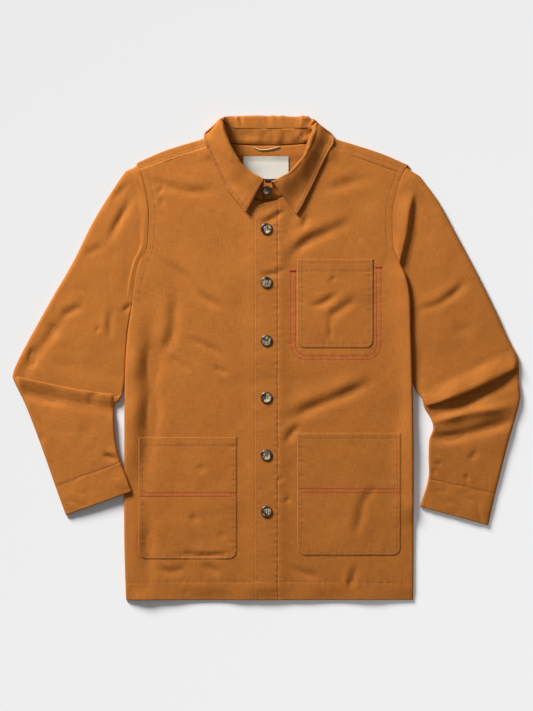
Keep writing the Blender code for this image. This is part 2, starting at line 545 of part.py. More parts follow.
# ---------------------------------------------------------------- sleeves and cuffs
def tube_row(station, outer, inner, folds, armhole=None, bulge=None, tuck=None, wall=CLOTH):
    """One ring of a flattened tube, over the top from the outer edge to the inner one and back below.

    A ring at an armhole starts and ends on it, and bulge moves a ring's middle over as the armhole curves.
    """
    start = Vector((read(armhole or outer, station.outer_y), station.outer_y))
    end = Vector((read(armhole or inner, station.inner_y), station.inner_y))
    across = end - start
    length = across.length

    def slant(edge, y):
        run = Vector((read(edge, y - 6.0) - read(edge, y + 6.0), -12.0))
        return max(abs(across.cross(run)) / (length * run.length), 0.35)

    def plan(share, under=0.0):
        point = start + across * share
        point.y += station.bow * 4.0 * share * (1.0 - share)
        if bulge:
            point.x += bulge(share)
        if armhole:
            point.x += math.copysign(ARMHOLE_GAP / 2 + under, start.x)
        return point

    def height(point, share):
        crown = station.crown + fold_height(point.x, point.y, folds)
        return max(crown, THINNEST_TUBE + 2.0 * (wall - CLOTH)), station.lift * share

    outer_scale, inner_scale = 1.0 / slant(outer, station.outer_y), 1.0 / slant(inner, station.inner_y)

    def top_point(share, part):
        point = plan(share, END_GAP * ease(1.0 - 12.0 * share))
        crown, lift = height(point, share)
        rise = 0.0
        if tuck:
            fade = ease(min(share, 1.0 - share) * length / TUCK_FADE)
            depth = mix(TUCK_DEPTH_OUTER, TUCK_DEPTH_INNER, share)
            slide = tuck.top + tuck.deep * depth - tuck.base
            point.y -= slide * fade
            rise = tuck.rise * fade
        return (point.x, point.y, lift + crown * part + rise)

    def bottom_point(share, part):
        point = plan(share, mix(END_GAP, UNDER_GAP, ease(4.0 * share) * ease(4.0 * (1.0 - share))))
        crown, lift = height(point, share)
        return (point.x, point.y, lift + crown * part)

    outer_insets = [(i * outer_scale / length, p) for i, p in TOP_EDGE]
    inner_insets = [(1.0 - i * inner_scale / length, p) for i, p in TOP_EDGE]
    first, last = outer_insets[-1][0], inner_insets[-1][0]
    middle = [(mix(first, last, k / TOP_COLUMNS), 1.0) for k in range(1, TOP_COLUMNS)]
    ring = [bottom_point(0.0, EDGE_MIDDLE)]
    ring += [top_point(*place_) for place_ in outer_insets + middle + inner_insets[::-1]]
    ring.append(bottom_point(1.0, EDGE_MIDDLE))
    inner_low = [(1.0 - i * inner_scale / length, p) for i, p in BOTTOM_EDGE]
    outer_low = [(i * outer_scale / length, p) for i, p in BOTTOM_EDGE]
    first, last = inner_low[-1][0], outer_low[-1][0]
    middle = [(mix(first, last, k / BOTTOM_COLUMNS), 0.0) for k in range(1, BOTTOM_COLUMNS)]
    ring += [bottom_point(*place_) for place_ in inner_low + middle + outer_low[::-1]]
    return ring


def tucked_rows(station, turn):
    """Station and tuck for each row of the Z; turn is -1 where the upper arm lies on the forearm."""
    rows = []
    for row in TUCK[::turn]:
        base = row.base * turn
        shifted = station._replace(outer_y=station.outer_y - base, inner_y=station.inner_y - base)
        rows.append((shifted, Tuck(base, row.top * turn, row.deep * turn, row.rise)))
    return rows


def make_sleeve(name, side, outer, inner, folds, upper, tuck_station, lower, turn, flip):
    top_y, low_y = upper[0].outer_y, upper[0].inner_y

    def bulge(part):
        """How far the armhole stands off the straight line between its ends, for the rings near it."""
        return lambda share: part * (
            read(side, mix(top_y, low_y, share)) - mix(read(side, top_y), read(side, low_y), share))

    rows = []
    for k, station in enumerate(upper):
        part = 1.0 - ease(k / ARMHOLE_STATIONS)
        rows.append(tube_row(station, outer, inner, folds, side if k == 0 else None, bulge(part)))
    for station, tuck in tucked_rows(tuck_station, turn):
        rows.append(tube_row(station, outer, inner, folds, tuck=tuck))
    for station in lower:
        rows.append(tube_row(station, outer, inner, folds))
    cloth(name, rows, CLOTH, DUCK, flip=flip, tube=True)


def make_cuff(name, outer, inner, stations, flip):
    rows = [tube_row(station, outer, inner, (), wall=CUFF_WALL) for station in stations]
    cloth(name, rows, CUFF_WALL, DUCK, flip=flip, tube=True)


def make_sleeves():
    make_sleeve("right_sleeve", RIGHT_SIDE, RIGHT_SLEEVE_OUTER, RIGHT_SLEEVE_INNER, RIGHT_SLEEVE_FOLDS,
                RIGHT_UPPER_STATIONS, RIGHT_TUCK_STATION, RIGHT_LOWER_STATIONS, 1, False)
    make_sleeve("left_sleeve", LEFT_SIDE, LEFT_SLEEVE_OUTER, LEFT_SLEEVE_INNER, LEFT_SLEEVE_FOLDS,
                LEFT_UPPER_STATIONS, LEFT_TUCK_STATION, LEFT_LOWER_STATIONS, -1, True)
    make_cuff("right_cuff", RIGHT_SLEEVE_OUTER, RIGHT_SLEEVE_INNER, RIGHT_CUFF_STATIONS, False)
    make_cuff("left_cuff", LEFT_SLEEVE_OUTER, LEFT_SLEEVE_INNER, LEFT_CUFF_STATIONS, True)


# ---------------------------------------------------------------- collar
def make_collar():
    stand, leaf = [], []
    for row in COLLAR_ROWS:
        seam, top, roll, edge = (Vector(p) for p in (row.seam, row.top, row.roll, row.edge))
        rise = (top - seam).normalized()
        join = top - rise * COLLAR_JOIN
        stand.append([tuple(seam.lerp(join, k / 3.0)) for k in range(4)])
        up, out = (top - roll).normalized(), (edge - roll).normalized()
        inward = (up + out).normalized()
        forward = (out - up).normalized()
        if edge.z < 0.1:
            inward, forward = Vector((inward.x, inward.y, 0.0)).normalized(), Vector((0.0, 0.0, -1.0))
        centre = roll + inward * row.radius
        start = join + rise * 2.0 * LAY_GAP
        before, after = centre - forward * row.radius, centre + forward * row.radius
        belly = Vector((0.0, 0.0, 1.0 if edge.z > LAID_HEIGHT else 0.0))
        fall = [after.lerp(edge, share) + belly * amount for share, amount in LEAF_FALL]
        leaf.append([tuple(p) for p in [start, top, before, roll, after] + fall])
    lap = []
    for share in (0.5, 1.0):
        shift = Vector((-STAND_LAP, -STAND_LAP_DROP, STAND_LAP_RISE)) * share
        lap.append([tuple(Vector(p) + shift) for p in stand[-1]])
    cloth("collar_stand", stand + lap, COLLAR_WALL, DUCK)
    cloth("collar_leaf", leaf, COLLAR_WALL, DUCK)


# ---------------------------------------------------------------- trim
def make_button(name, radius, position, tilt=0.0):
    """A turned button with a raised rim; the profile runs down its outer side."""
    size = radius / BUTTON_RADIUS * MM
    data = bpy.data.meshes.new(name)
    data.from_pydata([(r * size, 0.0, z * size) for r, z in BUTTON_PROFILE],
                     [(i, i + 1) for i in range(len(BUTTON_PROFILE) - 1)], [])
    piece = place(name, data, HORN)
    screw = piece.modifiers.new("turned", "SCREW")
    screw.steps = screw.render_steps = 18
    screw.use_merge_vertices = True
    screw.merge_threshold = 0.00001
    screw.use_smooth_shade = True
    piece.location = Vector(position) * MM
    piece.rotation_euler = (tilt, 0.0, 0.0)


def make_buttons():
    for number, y in enumerate(BUTTON_YS, 1):
        highest = max(front_height(BUTTON_X, y + step) for step in (-BUTTON_RADIUS, 0.0, BUTTON_RADIUS))
        seat = highest + LAY_GAP + PLACKET_WALL + BUTTON_SEAT
        make_button("button_%d" % number, BUTTON_RADIUS, (BUTTON_X, y, seat))
    seam, top = Vector(COLLAR_ROWS[-1].seam), Vector(COLLAR_ROWS[-1].top)
    middle = seam.lerp(top, COLLAR_BUTTON_SHARE)
    slope = math.atan2(top.z - seam.z, top.y - seam.y)
    height = middle.z + STAND_LAP_RISE + COLLAR_WALL / math.cos(slope) + COLLAR_BUTTON_SEAT
    make_button("collar_button", COLLAR_BUTTON_RADIUS, (COLLAR_BUTTON_X, middle.y, height), slope)


def flat_piece(name, x_range, y_range, wall, finish):
    """A small flat piece on the inside of the yoke."""
    xs = [mix(*x_range, k / 6.0) for k in range(7)]
    ys = [mix(*y_range, k / 4.0) for k in range(5)]
    lattice = [[(x, y, back_lift(x, y) + 2.0 * LAY_GAP + CLOTH) for x in xs] for y in ys]
    cloth(name, lattice, wall, finish)


def make_loop():
    data = bpy.data.curves.new("hang_loop", "CURVE")
    data.dimensions = "3D"
    data.bevel_depth = LOOP_RADIUS * MM
    data.bevel_resolution = 2
    data.use_fill_caps = True
    spline = data.splines.new("POLY")
    spline.points.add(len(LOOP_PATH) - 1)
    for point, (x, y) in zip(spline.points, LOOP_PATH):
        z = BACK_LIFT + CLOTH + LAY_GAP + LOOP_RADIUS
        point.co = (x * MM, y * MM, z * MM, 1.0)
    place("hang_loop", data, LOOP_CORD)


for old in list(bpy.data.objects):
    bpy.data.objects.remove(old)
SHIRT = bpy.data.collections.new("overshirt")
bpy.context.scene.collection.children.link(SHIRT)

make_back()
make_yoke()
make_fronts()
make_sleeves()
make_collar()
make_buttons()
make_loop()
flat_piece("neck_label", LABEL_X, LABEL_Y, LABEL_WALL, LABEL_CLOTH)
flat_piece("size_tab", TAB_X, TAB_Y, LABEL_WALL, TAB_CLOTH)
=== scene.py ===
"""Dresses the laid-out overshirt with thin shells, folds, seams and stitching, and sets its stage.

Left and right are the wearer's, so the left front, with the chest pocket, is on the +X side. +Y runs from
the hem to the collar and +Z up from the surface. Tables and shape functions are in millimetres, meshes in
metres.
"""
import math
from collections import namedtuple

import bmesh
import bpy
import numpy as np
from bpy.props import FloatProperty, FloatVectorProperty, PointerProperty
from mathutils import Matrix, Vector


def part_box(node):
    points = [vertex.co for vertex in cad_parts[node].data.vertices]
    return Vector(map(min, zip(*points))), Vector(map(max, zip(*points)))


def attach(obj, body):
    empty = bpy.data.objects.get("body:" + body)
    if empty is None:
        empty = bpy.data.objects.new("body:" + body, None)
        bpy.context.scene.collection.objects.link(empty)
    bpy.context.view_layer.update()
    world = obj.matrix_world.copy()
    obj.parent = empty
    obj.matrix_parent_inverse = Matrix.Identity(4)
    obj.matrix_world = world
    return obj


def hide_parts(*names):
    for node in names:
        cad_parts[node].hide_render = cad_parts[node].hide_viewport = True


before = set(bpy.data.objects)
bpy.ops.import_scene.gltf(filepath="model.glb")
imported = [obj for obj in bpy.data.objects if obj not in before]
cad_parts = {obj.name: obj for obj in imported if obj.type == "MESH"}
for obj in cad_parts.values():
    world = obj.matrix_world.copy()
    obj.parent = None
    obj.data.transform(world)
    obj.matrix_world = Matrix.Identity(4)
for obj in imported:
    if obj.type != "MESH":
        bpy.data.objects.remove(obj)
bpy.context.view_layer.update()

bl_info = {
    "name": "Laid-out overshirt",
    "version": (1, 0, 0),
    "blender": (4, 5, 0),
    "location": "3D View > Sidebar > Overshirt",
    "description": "Dresses the solids of a laid-out overshirt",
    "category": "Object",
}

MM = 0.001

# ---------------------------------------------------------------- sizes shared with the solids
CLOTH = 1.2            # wall of one layer of duck
SEAM_SHOW = 0.25       # half the gap at a seam
SEAM_UNDER = 3.0       # how far the fronts run on under the yoke
ARMHOLE_UNDER = 1.6    # and under the sleeves
LAY_GAP = 0.4          # between a panel and what is sewn on it
LAID_HEIGHT = 6.0      # mean top of the fronts where they lie on the back
HEM_HEIGHT = 3.5       # the same at the hem's edge
LOWEST_FRONT = 2.8     # and the least that a fold leaves
HEM_RAMP = 24.0        # how far the fronts take to rise from their hem
HEM_Y = -398.5
HEM_DEPTH = 30.0       # from the edge to the hem's stitching
CHEST_Y = 178.0        # above this line the rows of the fronts lean towards the neckline
NECK_LEVELS = 100.0    # and their levels count on by this much
LOW_SIDE_Y = -200.0    # the fronts' columns are spaced at this height
RIGHT_UPRIGHT_X = -165.0       # columns stand upright as far as this, and lean with the side past it
LEFT_UPRIGHT_X = 178.0
YOKE_SEAM_Y = 250.0    # back seam of the yoke
NECK_RIGHT_X = -70.0   # where shoulder and neckline meet
NECK_LEFT_X = 78.0
RIGHT_ARMPIT_Y = 89.0
LEFT_ARMPIT_Y = 153.5

PLACKET_RIGHT_X = -18.3
PLACKET_LEFT_X = 18.5
PLACKET_WALL = 2.0
PLACKET_RISE = 2.3     # top of the placket over the panel below it
BESIDE_PLACKET = (1.3, 1.9)    # how far the right and left fronts rise to meet its edges
BESIDE_WIDTH = 15.0
BUTTON_STAND_X = 17.0  # inner edge of the right front, under the placket
COLLAR_JOIN = 3.0      # the leaf runs on straight from the stand by this much before it turns
STAND_WALL = 1.2
LEAF_WALL = 1.7
LEAF_BELLY = 0.8       # how far the leaf bows up in front, between its roll and its edge
LEAF_DIP = 3.6         # and dips before it lies flat along its edge
LEAF_PLEATS = 1.7      # depth of the small pleats where the leaf joins the stand
LEAF_ROWS = (2.6, 5.4)         # topstitching, in from the leaf's edges
# Places of the leaf's points, in from its edge
LEAF_EDGE_STEPS = (7.4, 6.6, 5.9, 5.4, 4.9, 4.3, 3.7, 3.1, 2.6, 2.1, 1.4, 0.7, 0.0)
TIP_RADIUS = 3.0       # of the collar's points
CUFF_WALL = 1.6
POCKET_WALL = 0.8
POCKET_RISE = 1.05     # top of a pocket over its panel
POCKET_CORNER = 13.0

BUTTON_RADIUS = 9.75
COLLAR_BUTTON_RADIUS = 7.6
BUTTON_YS = (212.4, 124.2, 28.5, -65.2, -159.9, -252.9)

# ---------------------------------------------------------------- plan outlines, columns: y, x
RIGHT_SIDE = (
    (321.1, -214.3), (303, -206), (284.6, -201.3), (248, -194.8), (218, -194.9), (180.5, -198.2),
    (156.8, -209), (130.4, -215.7), (89.1, -222.1), (38.3, -229.7), (-31.7, -233.8), (-160, -234.8),
    (-300.3, -234.8), (-398.5, -232))
LEFT_SIDE = (
    (319, 235.5), (303.4, 224.9), (277.2, 215.3), (247.7, 208.6), (210.9, 207.9), (181.5, 210),
    (162.4, 216.8), (135.8, 230), (100.5, 237), (46.2, 238.6), (-1.7, 240.1), (-135.3, 242.6),
    (-300, 242.8), (-398.5, 242.4))
RIGHT_SLEEVE_OUTER = (
    (318.9, -218.8), (307.9, -232), (279.2, -252), (226.1, -285), (159.7, -318.1), (102.3, -351.3),
    (29.7, -391.9), (-2.6, -408.9), (-24.3, -417.6), (-34.3, -417.8), (-76.2, -397.8), (-144.2, -371.7),
    (-212.2, -347.8), (-259.2, -330.8))
RIGHT_SLEEVE_INNER = (
    (89.1, -222.7), (38.3, -230.2), (-31.7, -234.3), (-50, -235.2), (-60, -239.5), (-70, -246),
    (-80, -250.6), (-100.3, -250.8), (-140.3, -247.8), (-170.3, -240.2), (-190.2, -232.4), (-219.3, -221.8))
LEFT_SLEEVE_OUTER = (
    (316.5, 240.2), (292.4, 258.1), (259.2, 282.3), (210.5, 308.9), (148.7, 342), (82.5, 375),
    (29.7, 399.3), (2.3, 413.6), (-12.4, 416.4), (-39.8, 416.6), (-67.2, 418.2), (-145, 397.2),
    (-229.2, 376.2), (-275.6, 365.6))
LEFT_SLEEVE_INNER = (
    (153.5, 222.6), (135.8, 230.6), (100.5, 237.6), (46.2, 239.1), (-1.7, 240.6), (-40, 242),
    (-54.5, 247), (-66, 256), (-81.8, 260), (-100.8, 271), (-115.5, 274.6), (-134.5, 268.5),
    (-159.7, 267.1), (-197.7, 266.8), (-245, 253.1))
# Columns: x, y
SHOULDER_LINE = (
    (-218, 319.8), (-168.1, 341.6), (-101.8, 362), (-70, 371.5), (78, 372), (106.1, 363.3),
    (187.3, 337.8), (238, 316))
FORWARD_SEAM = ((-220, 305), (-70, 355.5), (78, 356.3), (240, 297.7))
RIGHT_NECKLINE = (
    (-70, 355.5), (-66, 332), (-58, 308), (-46, 286), (-30, 269), (-12, 259.5),
    (BUTTON_STAND_X, 256))
LEFT_NECKLINE = (
    (18.8, 261.5), (34, 269), (50, 283), (63, 304), (72, 330), (78, 356.3))
BACK_NECK = ((-60, 353), (-30, 350.4), (7, 350), (40, 350.6), (68, 353.5))

BACK_LIFT = 2.7        # how far the leaf behind the neck lifts what lies on it
BACK_LIFT_Y = (322, 338)   # from where to where that rises
BACK_LIFT_CENTRE_X = 4
BACK_LIFT_HALF_WIDTH = (119, 99)   # and fades, to each side of the centre
# Where the hem stands off the surface, columns: x, how far, reach
HEM_LIFTS = (
    (-205, 5, 24), (-165, 3, 30), (-40, 2.2, 24), (60, 1.6, 40), (170, 2.2, 36))

# ---------------------------------------------------------------- folds
# A fold is a soft trough (negative depth) or ridge along a smooth line through its points that fades at both
# ends. A trough's points follow its shaded upper left side, and lean is the share of its depth that stands up
# again beside it, on that side.
SHADED_FROM = (-0.5, 0.86)
Fold = namedtuple("Fold", "points width depth lean", defaults=(0.2,))
BODY_FOLDS = (
    Fold(((-184, 170), (-159, 160), (-134, 140), (-110, 112), (-85, 95), (-48, 79)), 7, -2.5, 0.4),
    Fold(((-136, 40), (-101, 26), (-66, 4)), 6, -1.7, 0.35),
    Fold(((-159, 116), (-160, 66), (-165, 34), (-184, 4)), 9, -3.2, 0.3),
    Fold(((-166, 0), (-152, 2), (-120, -23)), 5, -1.4),
    Fold(((-86, -8), (-60, -25)), 5, -1.3),
    Fold(((-204, 112), (-203, 50), (-203, -20), (-204, -102), (-210, -168), (-218, -236)), 14, -5, 1.2),
    Fold(((-204, -226), (-205, -300), (-202, -396)), 11, -3.2, 0.4),
    Fold(((-209, 304), (-176, 294), (-143, 284), (-110, 280), (-70, 286)), 7.5, -2.2),
    Fold(((84, 284), (106, 288), (146, 299), (184, 308)), 9, -2.2),
    Fold(((-174, 284), (-167, 274)), 5.5, -1.3),
    Fold(((-179, 262), (-174, 248)), 5.5, -1.1),
    Fold(((-190, -337), (-158, -346), (-127, -337)), 6.6, -1.5, 0.3),
    Fold(((-106, -333), (-68, -354)), 6.1, -1.7, 0.3),
    Fold(((-122, -252), (-106, -264)), 7.7, -1.1),
    Fold(((-108, -170), (-96, -186)), 7.7, -1),
    Fold(((-78, -282), (-62, -294)), 6.6, -1.1),
    Fold(((-134, -312), (-116, -322)), 5.5, -1.1),
    Fold(((-138, -380), (-122, -384)), 5.5, -1, 0),
    Fold(((-94, -384), (-78, -388)), 5.5, -1, 0),
    Fold(((-18, 221), (5, 232), (34, 251)), 5, -2, 0.4),
    Fold(((20, 154), (38, 174), (51, 188), (70, 201), (100, 214), (148, 237)), 8, -3.6, 0.5),
    Fold(((64, 241), (54, 210)), 5.5, -1.7, 0.3),
    Fold(((-17, 139), (10, 142.5), (37, 153)), 4.4, -1.4, 0.4),
    Fold(((20, -106), (39, -91), (60, -80), (80, -72), (110, -60), (138, -48), (186, -24)), 9, -4, 0.45),
    Fold(((25, -146), (38, -120), (60, -102)), 6, -1.9, 0.4),
    Fold(((24, -190), (32, -200)), 5.5, -1.3),
    Fold(((34, -226), (42, -236)), 5.5, -1.3),
    Fold(((182, -201), (156, -232), (146, -272), (134, -300)), 7.7, -2.1, 0.3),
    Fold(((143, -336), (132, -384)), 6, -2.2, 0.3),
    Fold(((-166, -319), (-120, -321), (-76, -320), (-44, -312)), 4.5, -1.8),
    Fold(((28, -329), (56, -346), (97, -359)), 6.6, -1.7, 0.3),
    Fold(((62, 92), (89, 94), (120, 114)), 6, -1.8, 0.4),
    Fold(((94, 58), (103, 74), (126, 90), (150, 108)), 7.5, -2.8, 0.4),
    Fold(((99.5, 72), (102, 26)), 5, -1.4, 0.3),
    Fold(((108, 138), (118, 130)), 5.5, -1),
    Fold(((120, 300), (156, 280), (196, 250)), 14.3, -1.4, 0),
    Fold(((206, -150), (212, -60), (208, 30)), 11, -1.3, 0))
RIGHT_SLEEVE_FOLDS = (
    Fold(((-330, 84), (-355, 50), (-380, 17), (-402, -12), (-420, -44)), 8.5, -2.6, 0.1),
    Fold(((-222, 276), (-245, 234), (-272, 183)), 6.5, -3, 0.1),
    Fold(((-262, 259), (-244, 279), (-226, 297)), 6.6, -1.8),
    Fold(((-305, 173), (-267, 191)), 6.6, -1.8, 0.3),
    Fold(((-346, 71), (-320, 84), (-298, 92)), 6.6, -2, 0.3),
    Fold(((-372, 48), (-354, 66)), 14.3, -1.4, 0),
    Fold(((-394, 20), (-387, -22)), 6.1, -2.7, 0.3),
    Fold(((-260, 88), (-263, 60), (-260, 28)), 5.5, -2, 0.4),
    Fold(((-278, 54), (-270, 46)), 5.5, -1.4, 0.3),
    Fold(((-242, 76), (-222, 94)), 4.4, -1.5, 0.3),
    Fold(((-416, -46), (-384, -52), (-355, -59), (-318, -66)), 9, -3.4, 0),
    Fold(((-301, -72), (-270, -63)), 5, -1.4, 0.3),
    Fold(((-310, -104), (-278, -114)), 13, -1.3),
    Fold(((-374, -124), (-360, -133)), 8.8, -1.1),
    Fold(((-268, -153), (-243, -166)), 5, -2.4, 0.4))
LEFT_SLEEVE_FOLDS = (
    Fold(((246, -66), (280, -62), (310, -47), (346, -31), (385, -11), (418, 8)), 9, 5, 0),
    Fold(((236, -90), (276, -87), (306, -74), (342, -57), (389, -34), (424, -16)), 9, -5.2, 0),
    Fold(((232, -118), (270, -122), (300, -123), (330, -116), (385, -100), (432, -82)), 9.5, -5.8, 0),
    Fold(((240, 83), (279, 93), (306, 111), (331, 134)), 6.6, -2.4, 0.5),
    Fold(((300, 50), (325, 56), (350, 62)), 9.9, -1.5, 0),
    Fold(((240, -106), (280, -101), (310, -95), (346, -88), (393, -81), (430, -66)), 8.5, 5.2, 0),
    Fold(((328, -169), (345, -146)), 6.1, -1.5),
    Fold(((276, -174), (287, -166)), 5.5, -1.4),
    Fold(((322, -196), (333, -190)), 5.5, -1.1),
    Fold(((268, -187), (278, -180)), 5.5, -1.3))
BACK_FOLDS = (
    Fold(((-160, 190), (-120, 120), (-118, 30)), 15, 1.3),
    Fold(((-60, 205), (-20, 150), (40, 128), (96, 150)), 17, 1, 0.3),
    Fold(((176, 168), (140, 80), (150, -20), (128, -96)), 14, 1.4),
    Fold(((-30, 60), (-8, -50), (-24, -150)), 20, 0.9, 0.4),
    Fold(((60, -60), (82, -170), (70, -290)), 15, 1.2, 0.3),
    Fold(((-190, -60), (-150, -110), (-96, -130)), 13, 1.1, 0.3),
    Fold(((-150, -210), (-118, -260), (-124, -330)), 16, 1.3),
    Fold(((190, -190), (160, -240), (120, -262)), 14, 1, 0.3))
BACK_FOLD_MOST = 1.5   # the back arches off the surface by no more than this
# A ledge is where one side of a fold stands over the other: a drop on the right of a line, seen along it,
# that eases off, and a rise on its left.
Ledge = namedtuple("Ledge", "points depth rise onset recover reach")
LEFT_SLEEVE_LEDGES = (
    Ledge(((229, -90), (229, -20), (228, 46), (226, 96), (220, 128), (217, 154),
           (229.5, 203.6), (234, 240), (238, 262), (240, 280)), 4.6, 4.6, 9, 22, 14),)
BODY_LEDGES = (
    Ledge(((245, -280), (244, -60), (242, 46), (238, 110), (227, 170)), 0, 6.4, 4, 20, 24),)

# ---------------------------------------------------------------- sleeves
# A station is one row across a sleeve: where it starts and ends, the height of its top face, how far its
# middle bows towards the cuff, and how far its inner end is held off the surface.
Station = namedtuple("Station", "outer_y inner_y crown bow lift", defaults=(0, 0))
RIGHT_UPPER_STATIONS = (
    Station(318.9, 89.1, 5.2), Station(308, 84, 6),
    Station(280, 72, 6.2), Station(226, 52, 6.3),
    Station(160, 28, 6.3), Station(102, 4, 6),
    Station(50, -16, 5.8), Station(10, -33, 5.4))
RIGHT_TUCK_STATION = Station(-28.2, -60.2, 5.6, -3, 0.6)
RIGHT_LOWER_STATIONS = (
    Station(-78, -101, 6.6, 0, 3), Station(-112, -121, 6.4, 0, 4.2),
    Station(-146, -139, 6, 0, 4.6), Station(-180, -156, 5.8, 0, 4.8),
    Station(-212.2, -172.3, 5.4, 0, 5))
RIGHT_CUFF_STATIONS = (
    Station(-212.8, -172.9, 5.4, 0, 5), Station(-228, -188.5, 5.4, 0, 5.5),
    Station(-244, -204, 5.4, 0, 6), Station(-259.2, -219.3, 5.2, 0, 6.4))
LEFT_UPPER_STATIONS = (
    Station(316.5, 153.5, 5.4), Station(300, 145, 6.2),
    Station(262, 130, 6.3), Station(210, 106, 6.3),
    Station(150, 76, 6.3), Station(95, 42, 6.4, -2),
    Station(52, 8, 6.4, -4), Station(24, -24, 6.4, -6))
LEFT_TUCK_STATION = Station(-14.5, -81, 6.4, -7)
LEFT_LOWER_STATIONS = (
    Station(-56, -112, 7.4, -6), Station(-96, -132, 7.4, -4),
    Station(-140, -154, 6.8, -2), Station(-184, -178, 6.2),
    Station(-224.9, -199.7, 5.4))
LEFT_CUFF_STATIONS = (
    Station(-225.5, -200.3, 5.4), Station(-242, -215, 5.4),
    Station(-259, -230, 5.4), Station(-275.6, -245, 5.2))
# The tuck at the elbow, a Z in the top face only. Columns: where the underside crosses, where the top face
# is, 1 where the tuck's own depth is added, and the rise.
Tuck = namedtuple("Tuck", "base top deep rise")
TUCK = (
    Tuck(-14, -14, 0, 0), Tuck(-10, -3, 0, -0.4), Tuck(-6, -1.2, 1, -0.8),
    Tuck(-2, 0, 1, -0.1), Tuck(2, -1.2, 1, 0.6), Tuck(6, 1.8, 0, 0.9), Tuck(10, 0, 0, 2.6),
    Tuck(14, 2.2, 0, 4.4), Tuck(18, 9, 0, 4), Tuck(22, 22, 0, 1))
TUCK_DEPTH_OUTER = 3.0
TUCK_DEPTH_INNER = 13.0
TUCK_FADE = 8.0
THINNEST_TUBE = 2.4
ARMHOLE_STATIONS = 5   # rows over which a sleeve turns from the armhole's curve to straight
CUFF_UNDER = 2.0       # how far a sleeve runs on inside its cuff
CUFF_OVER = 1.0        # and the cuff over the seam
EDGE_MIDDLE = 0.42     # share of a tube's height at which its top and underside meet
TOP_EDGE = 6.0         # how far in the top face of a tube is rounded
TOP_EDGE_INNER = 3.4
BOTTOM_EDGE = 3.0

# ---------------------------------------------------------------- collar
# Each row is a place along the collar, from the right end of the stand round the back of the neck to the
# left end. Points lie on the face next to the neck: seam and top of the stand, roll line, leaf's edge.
Collar = namedtuple("Collar", "seam top roll edge radius")
COLLAR_ROWS = (
    Collar((-6, 259.8, 5.6), (-4.5, 287, 11), (-3.6, 293.2, 23), (-33.7, 238.8, 16), 3),
    Collar((-22, 264.5, 5.7), (-13.5, 293, 12), (-13.5, 298.2, 25), (-46, 255, 15), 3.1),
    Collar((-35, 273, 5.8), (-26, 302, 14), (-27, 306.6, 24.4), (-59, 271.5, 13), 3.2),
    Collar((-48.5, 289, 6), (-40, 315, 16.5), (-41.5, 319.4, 27), (-71.5, 288, 10.5), 3.3),
    Collar((-59, 309, 6.2), (-52, 333, 18.5), (-53.5, 337, 30.5), (-84.5, 315, 9.6), 3.4),
    Collar((-66, 332, 8.8), (-60, 353, 19), (-62.5, 355, 32), (-95, 339, 10.4), 3.4),
    Collar((-68.5, 347, 10.1), (-66, 371, 16.5), (-70.5, 376, 33), (-101.6, 354.5, 10.8), 3.4),
    Collar((-68.5, 355.5, 10.1), (-67, 381, 12.6), (-74, 388, 31), (-103, 367, 6.6), 3.6),
    Collar((-66, 357.2, 8.8), (-64.5, 381.5, 11.2), (-72.5, 393.4, 24), (-98.5, 373, 0.4), 4),
    Collar((-60, 354.4, 6.8), (-58, 381, 10.2), (-65, 397.2, 9), (-88, 362, 0), 4.7),
    Collar((-42, 351.8, 6.4), (-42, 380.4, 9.8), (-44, 398.8, 4.7), (-54, 344, 0), 4.7),
    Collar((-18, 350.9, 6.4), (-18, 380, 9.6), (-18.5, 399.2, 4.7), (-21, 338.5, 0), 4.7),
    Collar((7, 350.6, 6.4), (7, 380.2, 9.6), (7, 399.2, 4.7), (7, 337, 0), 4.7),
    Collar((28, 351, 6.4), (28, 380.2, 9.6), (29, 399, 4.7), (32, 338.5, 0), 4.7),
    Collar((50, 352, 6.4), (50, 380.6, 9.8), (52, 398, 4.7), (62, 343.5, 0), 4.7),
    Collar((67, 354.8, 6.8), (65, 381.2, 10.2), (71, 396.2, 4.7), (91, 361, 0), 4.7),
    Collar((73.5, 357.6, 8.8), (72, 381.8, 11.2), (79, 391.6, 9), (104, 371.6, 0.4), 4),
    Collar((76, 356, 10.1), (74.5, 381.5, 12.6), (81, 386.4, 14), (109, 366.6, 6.6), 3.6),
    Collar((76.5, 347.5, 10.1), (74, 371, 16.5), (78.5, 375, 18), (109.6, 354, 10.8), 3.4),
    Collar((74, 332, 8.8), (68, 353, 19), (71, 354.5, 21), (100.5, 338, 10.4), 3.4),
    Collar((67, 309, 6.2), (61, 332, 18.5), (63, 336, 22), (88, 313, 9.6), 3.4),
    Collar((56.5, 289, 6), (49, 314, 16.5), (51, 318, 21.5), (76, 286.5, 9.5), 3.3),
    Collar((44, 275, 5.8), (36, 301, 14), (37.5, 305.2, 20.5), (67, 268.5, 10), 3.2),
    Collar((31, 268, 5.8), (23, 292, 12), (24, 297, 21), (58.5, 251.5, 10.5), 3.1),
    Collar((14, 264, 6), (9, 284.5, 11), (9, 289.6, 19.2), (48.8, 236.3, 11), 3))
STAND_LAP = (-16, -2, 2.6)     # the left end of the stand runs on over the right end by this much

# Pockets, columns: edge nearer the placket, edge nearer the side, bottom, top
Pocket = namedtuple("Pocket", "inner_x side_x bottom_y top_y")
CHEST_POCKET = Pocket(50.8, 176.4, 16.3, 162.9)
LEFT_POCKET = Pocket(50.8, 221.1, -325.4, -123.3)
RIGHT_POCKET = Pocket(-48.7, -210.7, -331.2, -130.4)

LABEL_X = (-37.8, 37.1)
LABEL_Y = (295.4, 332.3)
TAB_X = (-2.5, 18.6)
TAB_Y = (290.6, 295)
LOOP_PATH = (
    (-21.5, 348), (-17, 345.2), (-10, 342.8), (0, 342.9), (10, 344.8), (17, 346.8), (21.3, 348.2))


